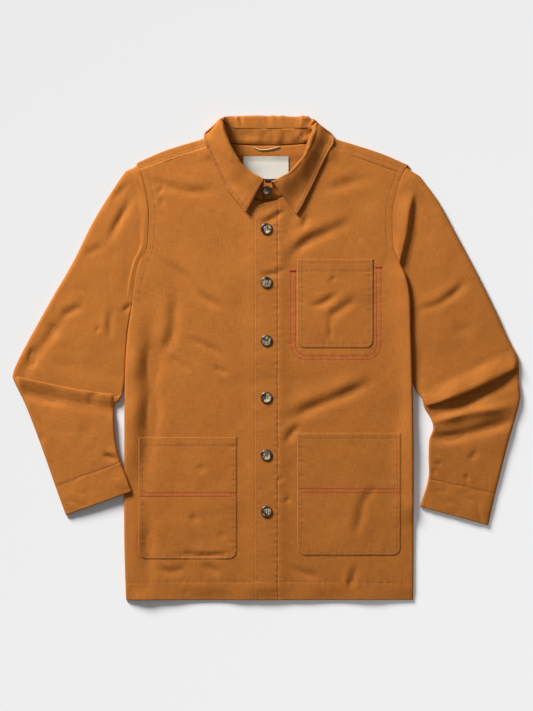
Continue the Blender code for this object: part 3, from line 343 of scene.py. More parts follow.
# ---------------------------------------------------------------- curves and heights
def linear(hex_colour):
    """An sRGB hex colour as linear red, green and blue."""
    channels = [int(hex_colour[i:i + 2], 16) / 255.0 for i in (1, 3, 5)]
    return [c / 12.92 if c <= 0.04045 else ((c + 0.055) / 1.055) ** 2.4 for c in channels]


def ease(value):
    """0 below 0, 1 above 1, and smooth between."""
    value = np.clip(value, 0.0, 1.0)
    return value * value * (3.0 - 2.0 * value)


def mix(a, b, share):
    """a where share is 0, b where it is 1, and in even steps between."""
    return a + (b - a) * share


def read(table, key):
    """Smooth value of a table's later columns at key, its first column, through every row."""
    rows = np.array(sorted(table), dtype=float)
    k, v = rows[:, 0], rows[:, 1]
    low, high = np.maximum(np.arange(len(k)) - 1, 0), np.minimum(np.arange(len(k)) + 1, len(k) - 1)
    slope = (v[high] - v[low]) / (k[high] - k[low])
    key = np.clip(key, k[0], k[-1])
    i = np.clip(np.searchsorted(k, key) - 1, 0, len(k) - 2)
    span = k[i + 1] - k[i]
    t = (key - k[i]) / span
    return (v[i] * (2 * t ** 3 - 3 * t ** 2 + 1) + v[i + 1] * (3 * t ** 2 - 2 * t ** 3)
            + span * (slope[i] * (t ** 3 - 2 * t ** 2 + t) + slope[i + 1] * (t ** 3 - t ** 2)))


def straight(table, key):
    """Value of a two-column table at key, in straight runs."""
    rows = np.array(sorted(table), dtype=float)
    return np.interp(key, rows[:, 0], rows[:, 1])


def fill(keys, step):
    """The keys, with even steps no longer than step between them."""
    places = [keys[0]]
    for a, b in zip(keys, keys[1:]):
        count = max(1, math.ceil(abs(b - a) / step))
        places += [mix(a, b, k / count) for k in range(1, count)] + [b]
    return np.array(places)


def crumple(x, y, size, seed):
    """Soft random unevenness between -1 and 1, with lumps about size across."""
    table = np.random.RandomState(seed).uniform(-1.0, 1.0, (64, 64))
    u, v = x / size + 320.0, y / size + 320.0
    i, j = np.floor(u).astype(int), np.floor(v).astype(int)
    s, t = ease(u - i), ease(v - j)

    def at(a, b):
        return table[(i + a) % 64, (j + b) % 64]

    return mix(mix(at(0, 0), at(1, 0), s), mix(at(0, 1), at(1, 1), s), t)


FOLD_FADE = 0.4        # share of its length over which a fold fades in at each end
FOLD_SWELL = 0.22      # and how unevenly deep it is on the way
FOLD_SWELL_RUN = 13.0
TROUGH_SHIFT = 0.9     # from a trough's points to its bottom, in widths
LEAN_SHIFT = 1.9       # from its bottom to what stands up beside it
LEAN_WIDTH = 1.3


def fold_height(x, y, folds):
    """Sum of the folds' heights."""
    total = np.zeros_like(x)
    for fold in folds:
        away, place, length = nearest(x, y, smooth_path(fold.points, 8.0))
        fade = ease(place / (FOLD_FADE * length)) * ease((length - place) / (FOLD_FADE * length))
        fade = fade * (1.0 + FOLD_SWELL * np.sin(place / FOLD_SWELL_RUN + fold.width + fold.points[0][0]))
        (x0, y0), (x1, y1) = fold.points[0], fold.points[-1]
        shaded = math.copysign(1.0, (y1 - y0) * SHADED_FROM[0] - (x1 - x0) * SHADED_FROM[1])
        if fold.depth < 0.0:
            away = away + TROUGH_SHIFT * shaded * fold.width
        shape = np.exp(-(away / fold.width) ** 2)
        if fold.lean:
            beside = away - LEAN_SHIFT * shaded * fold.width
            shape = shape - fold.lean * np.exp(-(beside / (LEAN_WIDTH * fold.width)) ** 2)
        total += fold.depth * fade * shape
    return total


def nearest(x, y, path):
    """Signed distance to a path, positive on its right, and how far along the path that is."""
    best = np.full(np.shape(x), 1e9)
    signed, place = np.zeros_like(best), np.zeros_like(best)
    start = 0.0
    for (x0, y0), (x1, y1) in zip(path, path[1:]):
        dx, dy = x1 - x0, y1 - y0
        length = math.hypot(dx, dy)
        along = np.clip(((x - x0) * dx + (y - y0) * dy) / length ** 2, 0.0, 1.0)
        away = np.hypot(x - x0 - along * dx, y - y0 - along * dy)
        right = np.where((x - x0) * dy - (y - y0) * dx > 0.0, away, -away)
        closer = away < best
        best = np.where(closer, away, best)
        signed = np.where(closer, right, signed)
        place = np.where(closer, start + along * length, place)
        start += length
    return signed, place, start


LEDGE_FADE = 40.0      # over which a ledge fades in at each end


def ledge_height(x, y, ledges):
    """Sum of the ledges' heights."""
    total = np.zeros_like(x)
    for ledge in ledges:
        away, place, length = nearest(x, y, ledge.points)
        ends = ease(place / LEDGE_FADE) * ease((length - place) / LEDGE_FADE)
        drop = ease(away / ledge.onset) * np.exp(-np.maximum(away - ledge.onset, 0.0) / ledge.recover)
        above = (1.0 - ease(away / ledge.onset)) * np.exp(-(np.minimum(away, 0.0) / ledge.reach) ** 2)
        total += (ledge.rise * above - ledge.depth * drop) * ends
    return total


RIPPLES = ((0.46, 11.3), (0.34, 7.9), (0.3, 17.7), (0.22, 29.0))      # columns: height, length


def ripple(place, seed):
    """Uneven pull of a row of stitches along a seam, about -1 to 1."""
    phase = np.random.RandomState(seed).uniform(0.0, 6.28, 4)
    return sum(share * np.sin(2.0 * math.pi * place / size + p) for (share, size), p in zip(RIPPLES, phase))


# A seam pulls the cloth beside it into small puckers and sinks a groove under its thread
Seam = namedtuple("Seam", "path reach pucker groove")
GROOVE_WIDTH = 1.4


def seam_height(x, y, seams):
    """Sum of the seams' puckers and grooves."""
    total = np.zeros_like(x)
    for number, seam in enumerate(seams):
        away, place, _ = nearest(x, y, seam.path)
        total += seam.pucker * ripple(place, number) * np.exp(-(away / seam.reach) ** 2)
        total -= seam.groove * np.exp(-(away / GROOVE_WIDTH) ** 2)
    return total


def seam_wear(x, y, seams):
    """How far the high spots along the seams are rubbed pale, 0 to 1."""
    total = np.zeros_like(x)
    for number, seam in enumerate(seams):
        away, place, _ = nearest(x, y, seam.path)
        high = 0.2 + 0.35 * ripple(place, number)
        total = np.maximum(total, high * np.exp(-(away / (0.5 * seam.reach)) ** 2))
    return np.clip(total, 0.0, 1.0)


def back_lift(x, y):
    """How far the leaf that lies behind the neck holds the yoke and the fronts off the surface."""
    low, high = BACK_LIFT_Y
    wide, narrow = BACK_LIFT_HALF_WIDTH
    across = (wide - abs(x - BACK_LIFT_CENTRE_X)) / (wide - narrow)
    return BACK_LIFT * ease((y - low) / (high - low)) * ease(across)


def run(points):
    """How far along a row of points each one lies."""
    steps = np.linalg.norm(np.diff(points, axis=0), axis=-1)
    return np.concatenate([[0.0], np.cumsum(steps)])


def offset_path(table, distance):
    """A table of y and x as a path of x and y, moved over by distance."""
    points = [(x, y) for y, x in table]
    moved = []
    for k, (x, y) in enumerate(points):
        (x0, y0), (x1, y1) = points[max(k - 1, 0)], points[min(k + 1, len(points) - 1)]
        length = math.hypot(x1 - x0, y1 - y0)
        moved.append((x + distance * (y1 - y0) / length, y - distance * (x1 - x0) / length))
    return moved


def smooth_path(points, step=4.0):
    """A path through the points, rounded."""
    keys = run(np.array(points, dtype=float))
    at = fill([0.0, keys[-1]], step)
    columns = [read(list(zip(keys, [p[c] for p in points])), at) for c in range(len(points[0]))]
    return list(zip(*columns))


RIGHT_ARMHOLE = [p for p in RIGHT_SIDE if p[0] >= RIGHT_ARMPIT_Y]
LEFT_ARMHOLE = [p for p in LEFT_SIDE if p[0] >= 135.0]
ARMHOLE_INSET = 11.0   # of the topstitching, and of the ridge that the seam allowances raise in the sleeve
RIGHT_TOPSTITCH = smooth_path(offset_path(RIGHT_ARMHOLE, -ARMHOLE_INSET)[1:])
LEFT_TOPSTITCH = smooth_path(offset_path(LEFT_ARMHOLE, ARMHOLE_INSET)[1:-2])
HEM_STITCH_Y = HEM_Y + HEM_DEPTH
RIGHT_SLEEVE_LEDGES = (
    Ledge(smooth_path(offset_path(RIGHT_ARMHOLE, ARMHOLE_INSET)[::-1], 8.0), -1.5, -0.6, 3.0, 11.0, 9.0),)


def forward_line(lift):
    """The forward seam on each shoulder, moved up the shoulder by lift."""
    right = [(x, straight(FORWARD_SEAM, x) + lift) for x in (-208.0, -70.0)]
    left = [(x, straight(FORWARD_SEAM, x) + lift) for x in (78.0, 228.0)]
    return right, left


def outward(pocket):
    """1 where the pocket's side edge is on the +X side of it, else -1."""
    return math.copysign(1.0, pocket.side_x - pocket.inner_x)


def pocket_outline(pocket, inset, corner=POCKET_CORNER):
    """The pocket's two sides and rounded foot, as a path from top to top, moved in by inset."""
    sign = outward(pocket)
    left, right = pocket.inner_x + sign * inset, pocket.side_x - sign * inset
    bottom, top = pocket.bottom_y + inset, pocket.top_y
    corner = max(corner - inset, 2.0)

    def bend(edge, turn, first, last):
        return [(edge + turn * corner * (1.0 - math.cos(angle)), bottom + corner * (1.0 - math.sin(angle)))
                for angle in np.linspace(first, last, 7)[1:]]

    path = [(left, y) for y in np.linspace(top, bottom + corner, 12)] + bend(left, sign, 0.0, math.pi / 2)
    path += [(x, bottom) for x in np.linspace(left + sign * corner, right - sign * corner, 10)[1:]]
    path += bend(right, -sign, math.pi / 2, 0.0)
    return path + [(right, y) for y in np.linspace(bottom + corner, top, 12)[1:]]


# The two red rows on the panel round the chest pocket, each with its corner's radius
RED_ROWS = ((Pocket(47.2, 180.7, 4.1, 147.0), 18.0), (Pocket(39.6, 188.3, -1.7, 147.0), 24.0))
RED_BARS = (((38.0, 144.4), (48.6, 144.4)), ((179.2, 149.6), (190.0, 149.6)))


BODY_SEAMS = (
    Seam([(-232.0, HEM_STITCH_Y - 1.0), (-18.0, HEM_STITCH_Y + 1.0)], 7.0, 0.35, 0.3),
    Seam([(18.0, HEM_STITCH_Y + 1.0), (242.0, HEM_STITCH_Y - 2.0)], 7.0, 0.35, 0.3),
    Seam([(20.0, HEM_Y), (20.0, 262.0)], 7.0, 0.3, 0.25),
    Seam(RIGHT_TOPSTITCH, 7.0, 0.3, 0.25),
    Seam(LEFT_TOPSTITCH, 7.0, 0.25, 0.25),
    *(Seam(path, 6.0, 0.15, 0.0) for path in forward_line(0.0)),
    *(Seam(pocket_outline(row, 0.0, corner), 5.0, 0.3, 0.35) for row, corner in RED_ROWS))


def creases(x, y, size, seed):
    """Uneven ground broken by soft sharp-bottomed creases, about -1 to 1."""
    bent_x = x + 0.3 * size * crumple(x, y, size, seed + 50)
    bent_y = y + 0.3 * size * crumple(x, y, size, seed + 51)
    return 2.4 * np.sqrt(crumple(bent_x, bent_y, size, seed) ** 2 + 0.01) - 0.9


# Uneven ground of washed cloth that isn't pressed: lumps or creases of one size
Ground = namedtuple("Ground", "form height size seed")
BODY_GROUND = (
    Ground(crumple, 0.8, 95.0, 2), Ground(crumple, 0.7, 46.0, 3), Ground(crumple, 0.16, 19.0, 4),
    Ground(creases, 0.35, 58.0, 24), Ground(creases, 0.16, 27.0, 25))
SLEEVE_GROUND = (
    Ground(crumple, 0.7, 60.0, 13), Ground(crumple, 0.5, 33.0, 6), Ground(crumple, 0.18, 15.0, 7),
    Ground(creases, 0.3, 48.0, 26), Ground(creases, 0.15, 24.0, 27))
CUFF_GROUND = (*SLEEVE_GROUND, Ground(creases, 0.42, 19.0, 28))


def ground_height(x, y, grounds):
    """Sum of the grounds' heights."""
    return sum(ground.height * ground.form(x, y, ground.size, ground.seed) for ground in grounds)


def hem_lift(x):
    """How far the hem stands off the surface along its edge."""
    return sum(rise * np.exp(-((x - at) / reach) ** 2) for at, rise, reach in HEM_LIFTS)


def laid_height(x, y):
    """Top face of the fronts as they lie on the back, away from their side edges and the placket."""
    height = LAID_HEIGHT + fold_height(x, y, BODY_FOLDS) + ledge_height(x, y, BODY_LEDGES)
    height += ground_height(x, y, BODY_GROUND)
    height = mix(HEM_HEIGHT + hem_lift(x), height, ease((y - HEM_Y) / HEM_RAMP))
    turned_up = 0.15 * ease((HEM_STITCH_Y - y) / 2.0)
    puckers = 0.3 * crumple(x, 0.2 * y, 22.0, 5) * ease((HEM_Y + 50.0 - y) / 50.0)
    height += turned_up + puckers + seam_height(x, y, BODY_SEAMS)
    return np.maximum(height, LOWEST_FRONT) + back_lift(x, y)


def body_height(x, y):
    """Top face of the fronts, which rise where they meet the placket."""
    beside_right, beside_left = PLACKET_RIGHT_X - x, x - PLACKET_LEFT_X
    right = BESIDE_PLACKET[0] * np.exp(-(beside_right / BESIDE_WIDTH) ** 2) * ease((beside_right + 4.0) / 4.0)
    left = BESIDE_PLACKET[1] * np.exp(-(beside_left / BESIDE_WIDTH) ** 2) * (beside_left > -1.0)
    return laid_height(x, y) + right + left


# ---------------------------------------------------------------- sheets
# What each piece of cloth was cut to, as it shows. Columns: width, length, area, how it lies, what it
# rests on
Cut = namedtuple("Cut", "width length area held rests_on")


# ---------------------------------------------------------------- meshes
def settle(piece, slot, *nodes):
    """Ties a piece to the frame."""
    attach(piece, "root")
    if nodes:
        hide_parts(*nodes)
    return piece


def place_object(name, data, finish=None):
    """Puts a mesh in the scene as an object, with the finish that its name gives."""
    if finish:
        data.shade_smooth()
        data.materials.append(material(finish))
    made = bpy.data.objects.new(name, data)
    bpy.context.scene.collection.objects.link(made)
    return made


def cloth(name, points, wall, flip=False, closed=False, wear=None, weave=None, finish="duck",
          slot="cotton_duck"):
    """A wall of cloth under the face that a grid of points gives; NaN leaves a place out.

    weave gives each point's place on the flat cloth, so that the threads follow the piece. The piece stands
    for the node of its name.
    """
    rows, columns = points.shape[:2]
    index = np.arange(rows * columns).reshape(rows, columns)
    after = np.roll(index, -1, axis=1)
    last = columns if closed else columns - 1
    quads = np.stack([index[:-1, :last], index[1:, :last], after[1:, :last], after[:-1, :last]], axis=-1)
    quads = quads.reshape(-1, 4)
    flat = points.reshape(-1, 3)
    quads = quads[~np.isnan(flat[quads][..., 0]).any(axis=1)]
    if flip:
        quads = quads[:, ::-1]
    used, quads = np.unique(quads, return_inverse=True)
    quads = quads.reshape(-1, 4)
    data = bpy.data.meshes.new(name)
    data.from_pydata((flat[used] * MM).tolist(), [], quads.tolist())
    on_cloth = (points[..., :2] if weave is None else weave).reshape(-1, 2)[used] * MM
    layer = data.uv_layers.new(name="weave")
    layer.data.foreach_set("uv", on_cloth[quads.ravel()].ravel().astype(np.float32))
    rubbed = data.attributes.new("wear", "FLOAT", "POINT")
    values = np.zeros(len(used)) if wear is None else wear.reshape(-1)[used]
    rubbed.data.foreach_set("value", values.astype(np.float32))
    piece = place_object(name + "_cloth", data, finish)
    solidify = piece.modifiers.new("wall", "SOLIDIFY")
    solidify.thickness = wall * MM
    solidify.offset = -1.0
    settle(piece, slot, name)


def joined(name, template, frames, finish):
    """One mesh from copies of a template's points and faces, each carried by a 3 x 3 frame and a place."""
    points, faces = template
    points = np.array(points)
    turned = np.einsum("nij,pj->npi", np.array([f[0] for f in frames]), points)
    places = np.array([f[1] for f in frames])[:, None, :]
    verts = (turned + places).reshape(-1, 3) * MM
    quads = [[i + k * len(points) for i in face] for k in range(len(frames)) for face in faces]
    data = bpy.data.meshes.new(name)
    data.from_pydata(verts.tolist(), [], quads)
    return place_object(name, data, finish)


# A stitch, columns: share of its length, share of its thickness, how high it rides in half widths
GRAIN_RINGS = (
    (-0.5, 0.15, -0.55), (-0.36, 0.8, -0.1), (0.0, 1.0, 0.15), (0.36, 0.8, -0.1), (0.5, 0.15, -0.55))


def grain(length, width, sides=6):
    """A stitch as it shows between its two needle holes: a grain of thread, lying along X."""
    points, faces = [], []
    for share, fat, rise in GRAIN_RINGS:
        for k in range(sides):
            angle = 2.0 * math.pi * k / sides
            reach = fat * width / 2.0
            points.append((share * length, reach * math.cos(angle),
                           reach * math.sin(angle) + rise * width / 2.0))
    for ring in range(len(GRAIN_RINGS) - 1):
        for k in range(sides):
            a, b = ring * sides + k, ring * sides + (k + 1) % sides
            faces.append((a, b, b + sides, a + sides))
    faces.append(tuple(range(sides))[::-1])
    faces.append(tuple(range((len(GRAIN_RINGS) - 1) * sides, len(GRAIN_RINGS) * sides)))
    return points, faces


def stitches(path, pitch, normals=None):
    """A frame for each stitch along a path of points in space."""
    path = np.array(path, dtype=float)
    place = run(path)
    count = max(1, int(place[-1] / pitch))
    middles = (np.arange(count) + 0.5) * place[-1] / count
    at = [np.array([np.interp(m + shift, place, path[:, c]) for c in range(3)])
          for m in middles for shift in (-pitch / 2, 0.0, pitch / 2)]
    frames = []
    for k, m in enumerate(middles):
        before, here, after = at[3 * k:3 * k + 3]
        along = (after - before) / max(np.linalg.norm(after - before), 1e-6)
        up = np.array([0.0, 0.0, 1.0]) if normals is None else np.array(
            [np.interp(m, place, normals[:, c]) for c in range(3)])
        side = np.cross(up, along)
        side /= np.linalg.norm(side)
        up = np.cross(along, side)
        frames.append((np.stack([along, side, up], axis=1), here))
    return frames


def sew(path, height, pitch, rise=0.0):
    """Stitches along a path of x and y on a surface that height gives, or raised off it."""
    dense = np.array(smooth_path(path, 1.5)) if len(path) > 2 else np.linspace(path[0], path[1], 200)
    z = height(dense[:, 0], dense[:, 1]) + rise
    return stitches(np.column_stack([dense, z]), pitch)


# ---------------------------------------------------------------- materials
def node(tree, kind, settings=None, **inputs):
    """Adds a node with its settings; an input is a value or the socket that feeds it."""
    made = tree.nodes.new(kind)
    for key, value in (settings or {}).items():
        setattr(made, key, value)
    for key, value in inputs.items():
        socket = made.inputs[int(key[1:])] if key[0] == "i" and key[1:].isdigit() else made.inputs[
            key.replace("_", " ")]
        if isinstance(value, bpy.types.NodeSocket):
            tree.links.new(value, socket)
        else:
            socket.default_value = value
    return made


def fresh(name, **sockets):
    """A new material with its tree and its shader, on which the sockets given here are set."""
    made = bpy.data.materials.new(name)
    made.use_nodes = True
    shader = made.node_tree.nodes["Principled BSDF"]
    for key, value in sockets.items():
        shader.inputs[key.replace("_", " ")].default_value = value
    return made, made.node_tree, shader


def math_node(tree, operation, a, b=0.0):
    """Result of a sum on two values or sockets."""
    return node(tree, "ShaderNodeMath", {"operation": operation}, i0=a, i1=b).outputs[0]


def woven(tree, pitch):
    """Height of a plain weave with threads pitch apart, in metres, and the flat cloth's coordinates."""
    place = node(tree, "ShaderNodeUVMap", {"uv_map": "weave"}).outputs["UV"]
    parts = node(tree, "ShaderNodeSeparateXYZ", i0=place)
    waves = [math_node(tree, "SINE", math_node(tree, "MULTIPLY", parts.outputs[axis], math.pi / pitch))
             for axis in (0, 1)]
    return place, math_node(tree, "MULTIPLY", waves[0], waves[1])


def stretched(tree, place, x, y, detail=2.0):
    """Noise drawn out along the threads: x and y are its lumps per metre."""
    scaled = node(tree, "ShaderNodeMapping", {"vector_type": "POINT"}, Vector=place, Scale=(x, y, 1.0))
    return node(tree, "ShaderNodeTexNoise", Vector=scaled.outputs[0], Scale=1.0, Detail=detail,
                Roughness=0.6).outputs["Fac"]


def blend(tree, share, a, b):
    """Two colours mixed; each is a value or the socket that feeds it."""
    made = node(tree, "ShaderNodeMix", {"data_type": "RGBA"}, i0=share)
    for index, value in ((6, a), (7, b)):
        if isinstance(value, bpy.types.NodeSocket):
            tree.links.new(value, made.inputs[index])
        else:
            made.inputs[index].default_value = (*value, 1.0)
    return made.outputs[2]


def spread(tree, value, low, high, to_low=0.0, to_high=1.0):
    """A value between low and high, spread over another range and held at its ends."""
    return node(tree, "ShaderNodeMapRange", {"clamp": True}, i0=value, i1=low, i2=high, i3=to_low,
                i4=to_high).outputs[0]


def washed_duck(settings):
    """Cotton duck, piece-dyed and washed: a dry matt plain weave, slubby and rubbed pale on its seams."""
    finish, tree, shader = fresh(
        "washed_cotton_duck", Roughness=0.86, IOR=1.47, Specular_IOR_Level=0.25, Sheen_Weight=0.05,
        Sheen_Roughness=0.45, Sheen_Tint=(*settings.duck_pale, 1.0))
    place, weave = woven(tree, settings.thread_spacing)
    along = stretched(tree, place, 900.0, 60.0)
    across = stretched(tree, place, 60.0, 900.0)
    cloud = stretched(tree, place, 14.0, 14.0, 3.0)
    slub = math_node(tree, "ADD", along, across)
    colour = blend(tree, spread(tree, cloud, 0.35, 0.7), settings.duck, settings.duck_deep)
    colour = blend(tree, spread(tree, slub, 0.75, 1.3, 0.0, 0.6), colour, settings.duck_pale)
    wear = node(tree, "ShaderNodeAttribute", {"attribute_name": "wear"}).outputs["Fac"]
    rubbed = math_node(tree, "MULTIPLY", wear, spread(tree, slub, 0.8, 1.2, 0.3, 0.75))
    colour = blend(tree, rubbed, colour, settings.duck_pale)
    tree.links.new(colour, shader.inputs["Base Color"])
    height = math_node(tree, "ADD", math_node(tree, "MULTIPLY", weave, 0.35), slub)
    bump = node(tree, "ShaderNodeBump", Height=height, Strength=0.8, Distance=0.0003)
    tree.links.new(bump.outputs["Normal"], shader.inputs["Normal"])
    return finish


def spun_thread(name, colour):
    """Spun polyester sewing thread: two plies that catch a soft line of light along each turn."""
    finish, tree, shader = fresh(name, Roughness=0.6, Sheen_Weight=0.1)
    place = node(tree, "ShaderNodeTexCoord").outputs["Object"]
    ply = node(tree, "ShaderNodeTexWave", {"bands_direction": "DIAGONAL"}, Vector=place, Scale=900.0,
               Distortion=1.0)
    tree.links.new(blend(tree, ply.outputs["Fac"], [c * 0.8 for c in colour], colour),
                   shader.inputs["Base Color"])
    return finish


def marbled_horn(settings):
    """Polished horn-look polyester: dark brown swirled with cream, cast and tumbled to a gloss."""
    finish, tree, shader = fresh(
        "marbled_horn", Roughness=0.3, IOR=1.55, Coat_Weight=0.3, Coat_Roughness=0.12)
    place = node(tree, "ShaderNodeNewGeometry").outputs["Position"]
    bent = node(tree, "ShaderNodeTexNoise", Vector=place, Scale=70.0, Detail=3.0)
    warped = node(tree, "ShaderNodeMix", {"data_type": "VECTOR"}, i0=0.025)
    tree.links.new(place, warped.inputs[4])
    tree.links.new(bent.outputs["Color"], warped.inputs[5])
    swirl = node(tree, "ShaderNodeTexNoise", Vector=warped.outputs[1], Scale=95.0, Detail=3.0,
                 Roughness=0.55, Distortion=1.2)
    centre = node(tree, "ShaderNodeAttribute", {"attribute_name": "centre"}).outputs["Fac"]
    veins = math_node(tree, "MULTIPLY", spread(tree, swirl.outputs["Fac"], 0.49, 0.6), centre)
    brown = blend(tree, spread(tree, swirl.outputs["Fac"], 0.36, 0.52), settings.horn_dark,
                  settings.horn_brown)
    tree.links.new(blend(tree, veins, brown, settings.horn_cream), shader.inputs["Base Color"])
    return finish


RIBBON_SPACING = 0.4 * MM      # coarser than real ribbon, so that it shows


def label_ribbon(name, colour):
    """Damask-woven polyester ribbon: close flat threads, a little smoother and brighter than the duck."""
    finish, tree, shader = fresh(name, Roughness=0.62)
    place, weave = woven(tree, RIBBON_SPACING)
    flecks = stretched(tree, place, 500.0, 1400.0)
    tree.links.new(blend(tree, spread(tree, flecks, 0.3, 0.7), [c * 0.86 for c in colour], colour),
                   shader.inputs["Base Color"])
    bump = node(tree, "ShaderNodeBump", Height=weave, Strength=0.4, Distance=0.00008)
    tree.links.new(bump.outputs["Normal"], shader.inputs["Normal"])
    return finish


MATERIALS = {}


def material(name):
    """The finished materials, made once each."""
    if name not in MATERIALS:
        settings = bpy.context.scene.overshirt_colours
        MATERIALS[name] = {
            "duck": lambda: washed_duck(settings),
            "thread": lambda: spun_thread("tonal_thread", settings.thread),
            "red_thread": lambda: spun_thread("red_thread", settings.red_thread),
            "dark_thread": lambda: spun_thread("dark_thread", settings.dark_thread),
            "horn": lambda: marbled_horn(settings),
            "label": lambda: label_ribbon("label_ribbon", settings.label),
            "tab": lambda: label_ribbon("tab_ribbon", settings.tab),
            "cord": lambda: spun_thread("loop_cord", settings.cord),
        }[name]()
    return MATERIALS[name]


# ---------------------------------------------------------------- body panels
def step_size():
    """Spacing of the points on the fronts and what lies on them."""
    return bpy.context.scene.overshirt_sizes.mesh_step / MM


def around(place, reach=4.0):
    """Keys close together about a seam."""
    return [place - reach, place - 1.6, place, place + 1.6, place + reach]


SIDE_ROUND = 6.0       # how far in from the side a front rounds down to its edge
SIDE_LOWEST = 0.2      # share of its height left at that edge
SIDE_STEEPNESS = (3.4, 0.36)
SIDE_POINTS = 11
CURL_RUN = 16.0        # over which the rounding sets in at the armpit
ARMHOLE_RUN = 12.0     # and the front runs on under the sleeve above it
SLEEVE_PRESS = 1.1     # how far the sleeve presses that down
NECK_ROUNDS = 6        # of the search for a row's place between chest and neckline


def front_grid(side, sign, armpit_y, upright_x, columns, levels, top_of):
    """Points of a front's top face, from the inner edge to the side, in rows from hem to top."""
    low = read(side, LOW_SIDE_Y)
    insets = SIDE_ROUND * (1.0 - np.sin(np.linspace(0.0, math.pi / 2, SIDE_POINTS)))
    keys = np.concatenate([columns, low - sign * insets])[None, :]
    share = np.clip((keys - upright_x) / (low - sign * SIDE_ROUND - upright_x), 0.0, 1.0)

    def x_at(y):
        edge = read(side, y) + sign * mix(-SEAM_SHOW, ARMHOLE_UNDER, ease((y - armpit_y) / ARMHOLE_RUN))
        return mix(keys, edge + keys - low, share)

    levels = np.array(levels)[:, None]
    y = np.repeat(levels, keys.shape[1], axis=1)
    neck_share = np.maximum(levels - CHEST_Y, 0.0) / NECK_LEVELS
    for _ in range(NECK_ROUNDS):
        y = np.where(levels > CHEST_Y, mix(CHEST_Y, top_of(x_at(y)), neck_share), levels)
    x = x_at(y)
    inset = np.clip((low - keys) * sign, 0.0, SIDE_ROUND) / SIDE_ROUND
    rounded = mix(SIDE_LOWEST, 1.0, (1.0 - (1.0 - inset) ** SIDE_STEEPNESS[0]) ** SIDE_STEEPNESS[1])
    curl = mix(1.0, rounded, ease((armpit_y + CURL_RUN / 2 - y) / CURL_RUN))
    under = ease((1.2 - (read(side, y) - x) * sign) / 1.7) * ease((y - armpit_y) / ARMHOLE_RUN)
    return np.stack([x, y, body_height(x, y) * curl - SLEEVE_PRESS * under], axis=-1)


def top_of_right_front(x):
    """Where the right front ends: under the yoke on the shoulder, and at the neckline."""
    return np.where(x < NECK_RIGHT_X, straight(FORWARD_SEAM, x) + SEAM_UNDER, read(RIGHT_NECKLINE, x))


def top_of_left_front(x):
    """The same for the left front."""
    return np.where(x > NECK_LEFT_X, straight(FORWARD_SEAM, x) + SEAM_UNDER, read(LEFT_NECKLINE, x))


def make_front(name, side, sign, armpit_y, upright_x, inner_x, pocket_side_x, top_of):
    """One front, from the hem to the neckline and the forward seam."""
    step = step_size()
    low = read(side, LOW_SIDE_Y)
    columns = fill([inner_x, inner_x + 3.0 * sign, pocket_side_x, low - sign * 8.0], step)
    levels = fill([HEM_Y, HEM_Y + 1.5, *around(HEM_STITCH_Y)[1:], CHEST_Y], step)
    neck_rows = np.linspace(0.0, NECK_LEVELS, int(1.1 * NECK_LEVELS / step) + 1)
    levels = np.concatenate([levels, CHEST_Y + neck_rows[1:]])
    points = front_grid(side, sign, armpit_y, upright_x, columns, levels, top_of)
    wear = seam_wear(points[..., 0], points[..., 1], BODY_SEAMS)
    cloth(name, points, CLOTH, flip=sign > 0.0, wear=wear)


PLACKET_SQUARE_Y = 230.0       # above this its rows slant to its top edge
PLACKET_TOP_Y = 252.0          # where those rows' levels end
PLACKET_TOP = (251.0, 260.5)   # height of that edge at its right and left end


def make_placket():
    """The strip down the left front, folded double, that carries the buttonholes."""
    right, left = PLACKET_RIGHT_X, PLACKET_LEFT_X
    xs = fill([right, right + 0.5, right + 1.5, left - 1.5, left, left + 0.6, left + 1.2],
              step_size())[None, :]
    levels = fill([HEM_Y - 0.1, HEM_Y + 1.5, *around(HEM_STITCH_Y)[1:], PLACKET_SQUARE_Y, PLACKET_TOP_Y],
                  step_size())[:, None]
    top = mix(*PLACKET_TOP, (xs - right) / (left - right))
    share = np.clip((levels - PLACKET_SQUARE_Y) / (PLACKET_TOP_Y - PLACKET_SQUARE_Y), 0.0, 1.0)
    y = np.where(levels > PLACKET_SQUARE_Y, mix(PLACKET_SQUARE_Y, top, share), levels)
    x = np.repeat(xs, len(levels), axis=0)
    points = np.stack([x, y, placket_height(x, y)], axis=-1)
    cloth("placket", points, PLACKET_WALL - 0.3, flip=True, wear=seam_wear(x, y, PLACKET_SEAMS))


PLACKET_SEAMS = (
    Seam([(PLACKET_RIGHT_X + 2.5, HEM_Y), (PLACKET_RIGHT_X + 2.5, 252.0)], 6.0, 0.25, 0.15),
    Seam([(PLACKET_LEFT_X - 1.8, HEM_Y), (PLACKET_LEFT_X - 1.8, 262.0)], 7.0, 0.3, 0.2),
    Seam([(PLACKET_RIGHT_X, HEM_STITCH_Y + 2.0), (PLACKET_LEFT_X, HEM_STITCH_Y + 2.0)], 5.0, 0.2, 0.25))


def placket_height(x, y):
    """Top face of the placket, lowest at its free edge and where it is sewn to the front."""
    edge = np.sqrt(np.clip((x - PLACKET_RIGHT_X) / 1.5, 0.0, 1.0))
    sewn = ease((x - PLACKET_LEFT_X + 3.0) / 3.0) + 1.6 * ease((x - PLACKET_LEFT_X) / 1.2)
    rise = PLACKET_RISE - 0.55 * (1.0 - edge) - 0.22 * sewn
    return laid_height(x, y) + rise + seam_height(x, y, PLACKET_SEAMS)


BACK_EDGE_RUN = 36.0   # over which the back's folds fade to its hem and its yoke seam


def back_rise(x, y, shares):
    """How far the back arches off the surface in its folds. Its edges stay down."""
    ends = ease((y - HEM_Y) / BACK_EDGE_RUN) * ease((YOKE_SEAM_Y - y) / BACK_EDGE_RUN)
    sides = ease(np.minimum(shares, 1.0 - shares) / 0.09)
    return np.clip(fold_height(x, y, BACK_FOLDS), 0.0, BACK_FOLD_MOST) * sides * ends


